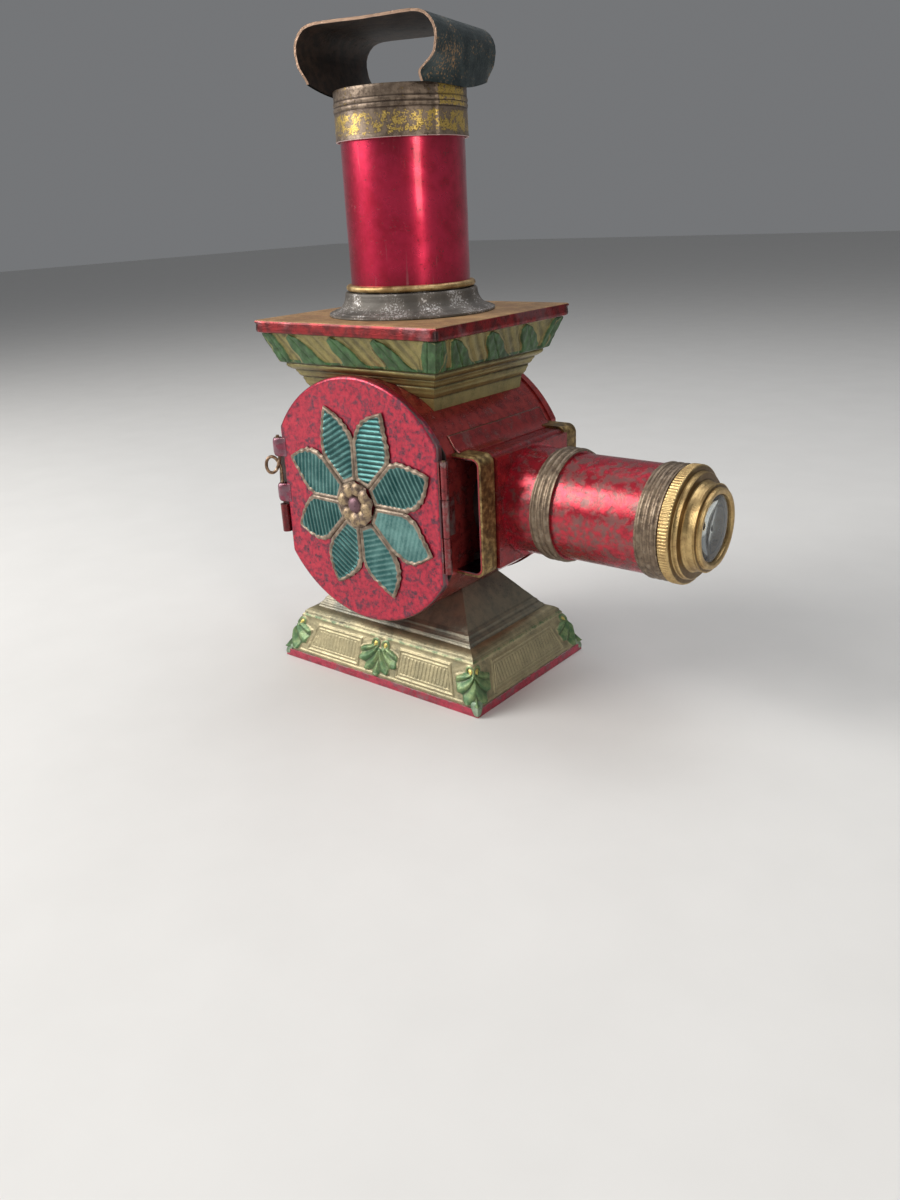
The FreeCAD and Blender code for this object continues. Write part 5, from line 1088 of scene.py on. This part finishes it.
grey = Finish("band_tin")
grey_patches = grey.grain(520, 6)
grey_specks = grey.grain(1500, 3)
grey_colour = grey.ramp(grey_patches, (0.34, (0.15, 0.11, 0.08)), (0.52, (0.24, 0.18, 0.125)),
                        (0.70, (0.34, 0.27, 0.20)))
grey_colour = grey.mix(grey.step(grey_specks, 0.56, 0.64) * 0.5, grey_colour, (0.06, 0.04, 0.03))
band_grey = grey.paint(grey_colour, 0.36 + grey_patches * 0.15, 0.8, grey_patches * 0.5 + grey_specks * 0.5,
                       0.00025)
refinish(band_grey, "fixed_tube_band", "draw_tube_band")


# ------------------------------------------------------------------ lens head
# Turned brass: a knurled flange to grip, two steps and a thin rim that holds the front lens.
# Warm yellow, hand-worn bright on the high turns and brown in the grooves.

BEAM = (0.0, 0.0, DRUM_AXIS)
KNURL_START = 111.25
KNURL_END = 114.65
KNURL_RIDGES = 110


def knurl(along, radius, turn):
    if KNURL_START < along < KNURL_END and radius > 19:
        depth = smooth(along, KNURL_START, 111.7) * smooth(KNURL_END, along, along + 0.4)
        return -0.26 * depth * (0.5 - 0.5 * math.cos(turn * KNURL_RIDGES))
    return 0.0


def head_masks(along, radius, turn):
    grooves = bell(along - 111.2, 0.2) + bell(along - 115.0, 0.22) + bell(along - 116.95, 0.22)
    ridged = KNURL_START < along < KNURL_END and radius > 18.9
    cut = (0.5 - 0.5 * math.cos(turn * KNURL_RIDGES)) if ridged else 0.0
    return (min(grooves + cut * 0.5 + bell(along - 121.3, 0.16), 1.0),)


head_profile = line_through([(103.9, 16.6), (103.9, 17.3), (110.9, 17.3), (111.0, 18.9), (111.2, 19.5),
                             (111.6, 19.7), (114.3, 19.7), (114.7, 19.5), (114.9, 19.0), (115.0, 17.9),
                             (115.3, 17.5), (116.5, 17.5), (116.85, 17.2), (116.95, 15.3), (117.3, 14.7),
                             (118.2, 14.4), (120.4, 14.3), (121.1, 14.5), (121.3, 13.7), (121.45, 13.25),
                             (122.2, 13.25), (122.6, 13.0), (122.7, 12.5), (122.6, 11.8), (122.2, 11.2),
                             (121.2, 11.0), (121.2, 12.6), (116.6, 12.6), (116.6, 11.4), (105.0, 14.8)],
                            0.22)
brass = Finish("turned_brass")
brass_clouds = brass.grain(110, 6)
brass_patches = brass.grain(420, 5)
brass_specks = brass.grain(1800, 3)
brass_turning = brass.grain(900, 2, stretch=(3.0, 0.05, 0.05))
brass_colour = brass.mix(brass.step(brass_clouds * 0.5 + brass_patches * 0.5, 0.38, 0.62), (0.66, 0.48, 0.22),
                         (0.46, 0.31, 0.14))
brass_colour = brass.mix(brass.step(brass.mask("groove") + (brass_patches - 0.5) * 0.4, 0.35, 0.9) * 0.8,
                         brass_colour, (0.07, 0.035, 0.012))
brass_colour = brass.mix(brass.step(brass_specks, 0.57, 0.65) * 0.4, brass_colour, (0.14, 0.07, 0.03))
turned_brass = brass.paint(brass_colour, 0.30 + brass_patches * 0.16, 0.95,
                           brass_turning * 0.5 + brass_specks * 0.3 + brass_patches * 0.3, 0.00016)
new_piece("brass_head", spun(head_profile, 704, BEAM, "x", bumps=knurl, masks=head_masks), "lens_head",
          turned_brass, ["lens_head"], ["groove"], 40)
refinish(turned_brass, "burner", "wick_tube", "glass_gallery", "wick_winder_shaft", "wick_knob")


# ------------------------------------------------------------------ lenses
# Clear crown glass, slightly green, with fine rub marks and a little dust at the edge.

def clear_glass(name, colour):
    finish = Finish(name)
    dust = finish.grain(900, 4)
    swirl = finish.grain(60, 3, stretch=(1.0, 6.0, 1.0))
    level = 0.01 + finish.step(dust * 0.6 + swirl * 0.4, 0.52, 0.66) * 0.09
    return finish.paint(colour, level, 0.0, swirl, 0.00002, transmission_weight=1.0)


lens_glass = clear_glass("lens_glass", (0.90, 0.95, 0.92))
refinish(lens_glass, "condenser_lens", "rear_lens", "front_lens", "lamp_glass")


# ------------------------------------------------------------------ lamp
# Inside the drum a small oil lamp stands on a tin floor between rails, with a hollow reflector behind it.
# Plain tinplate, greyed by heat; the reflector was silvered and has gone a little yellow.

tin = Finish("plain_tin")
tin_clouds = tin.grain(120, 6)
tin_specks = tin.grain(1500, 3)
tin_colour = tin.ramp(tin_clouds, (0.32, (0.20, 0.19, 0.18)), (0.6, (0.46, 0.45, 0.43)))
tin_colour = tin.mix(tin.step(tin_specks, 0.57, 0.65) * 0.6, tin_colour, (0.10, 0.07, 0.05))
plain_tin = tin.paint(tin_colour, 0.34 + tin_clouds * 0.2, 0.9, tin_clouds * 0.5 + tin_specks * 0.5, 0.0002)
refinish(plain_tin, "slide_spring_upper", "slide_spring_lower", "lamp_floor", "lamp_rail_front",
         "lamp_rail_back", "lamp_font", "reflector_bracket")

silver = Finish("silvered")
silver_clouds = silver.grain(90, 6)
silver_colour = silver.ramp(silver_clouds, (0.35, (0.88, 0.86, 0.80)), (0.7, (0.70, 0.64, 0.50)))
silvered = silver.paint(silver_colour, 0.08 + silver_clouds * 0.12, 1.0, silver_clouds, 0.0001)
refinish(silvered, "reflector")

cotton = Finish("wick_cotton")
cotton_weave = cotton.node("ShaderNodeTexWave", {"bands_direction": "DIAGONAL"},
                           {"Vector": cotton.spot, "Scale": 500.0, "Distortion": 2.0}, 1)
cotton_char = cotton.step(cotton.node("ShaderNodeSeparateXYZ", {}, {0: cotton.spot}, 2), 0.0645, 0.066)
cotton_colour = cotton.mix(cotton_weave, (0.72, 0.66, 0.52), (0.52, 0.46, 0.34))
cotton_colour = cotton.mix(cotton_char, cotton_colour, (0.02, 0.015, 0.012))
refinish(cotton.paint(cotton_colour, 0.85, 0.0, cotton_weave, 0.0003), "wick")


# ------------------------------------------------------------------ room
# A pale table top, a big soft light over the door side, a weaker one by the lens, and the camera.

floor_mesh = bpy.data.meshes.new("table_top")
floor_mesh.from_pydata([(-4, -4, 0), (4, -4, 0), (4, 4, 0), (-4, 4, 0)], [], [(0, 1, 2, 3)])
table_top = bpy.data.objects.new("table_top", floor_mesh)
bpy.context.scene.collection.objects.link(table_top)
table = Finish("pale_table")
table_grain = table.grain(30, 4)
floor_mesh.materials.append(table.paint(table.mix(table_grain, (0.70, 0.69, 0.67), (0.76, 0.75, 0.73)), 0.6,
                                        0.0, table_grain, 0.0001))


def soft_light(name, place, size, power, colour, aim=(0.0, 0.0, 0.10)):
    light = bpy.data.lights.new(name, "AREA")
    light.shape = "RECTANGLE"
    light.size, light.size_y = size
    light.energy = power
    light.color = colour
    lamp = bpy.data.objects.new(name, light)
    bpy.context.scene.collection.objects.link(lamp)
    lamp.location = place
    lamp.rotation_euler = (Vector(aim) - Vector(place)).to_track_quat("-Z", "Y").to_euler()


soft_light("key_light", (-0.62, -0.62, 0.62), (0.6, 0.7), 11.5, (1.0, 0.98, 0.95))
soft_light("top_light", (0.1, 0.25, 1.0), (0.8, 0.8), 4.5, (0.95, 0.97, 1.0))
soft_light("lens_light", (0.75, -0.35, 0.45), (0.18, 0.6), 1.8, (1.0, 0.94, 0.86))

world = bpy.data.worlds.new("studio")
world.use_nodes = True
world.node_tree.nodes["Background"].inputs["Color"].default_value = (0.80, 0.82, 0.85, 1)
world.node_tree.nodes["Background"].inputs["Strength"].default_value = 0.22
bpy.context.scene.world = world
bpy.context.scene.view_settings.view_transform = "Standard"

turn, tilt, roll = math.radians(39.55), math.radians(21.94), math.radians(-2.887)
ahead = Vector((-math.sin(turn) * math.cos(tilt), math.cos(turn) * math.cos(tilt), -math.sin(tilt)))
level = Vector((math.cos(turn), math.sin(turn), 0))
upright = level.cross(ahead)
right = math.cos(roll) * level + math.sin(roll) * upright
top = -math.sin(roll) * level + math.cos(roll) * upright
camera_data = bpy.data.cameras.new("camera")
camera_data.sensor_width = 36.0
camera_data.lens = 29.35
camera_data.clip_start = 0.01
camera = bpy.data.objects.new("camera", camera_data)
bpy.context.scene.collection.objects.link(camera)
camera.matrix_world = Matrix.Translation((0.24422, -0.28263, 0.17332)) @ Matrix(
    (right, top, -ahead)).transposed().to_4x4()
bpy.context.scene.camera = camera
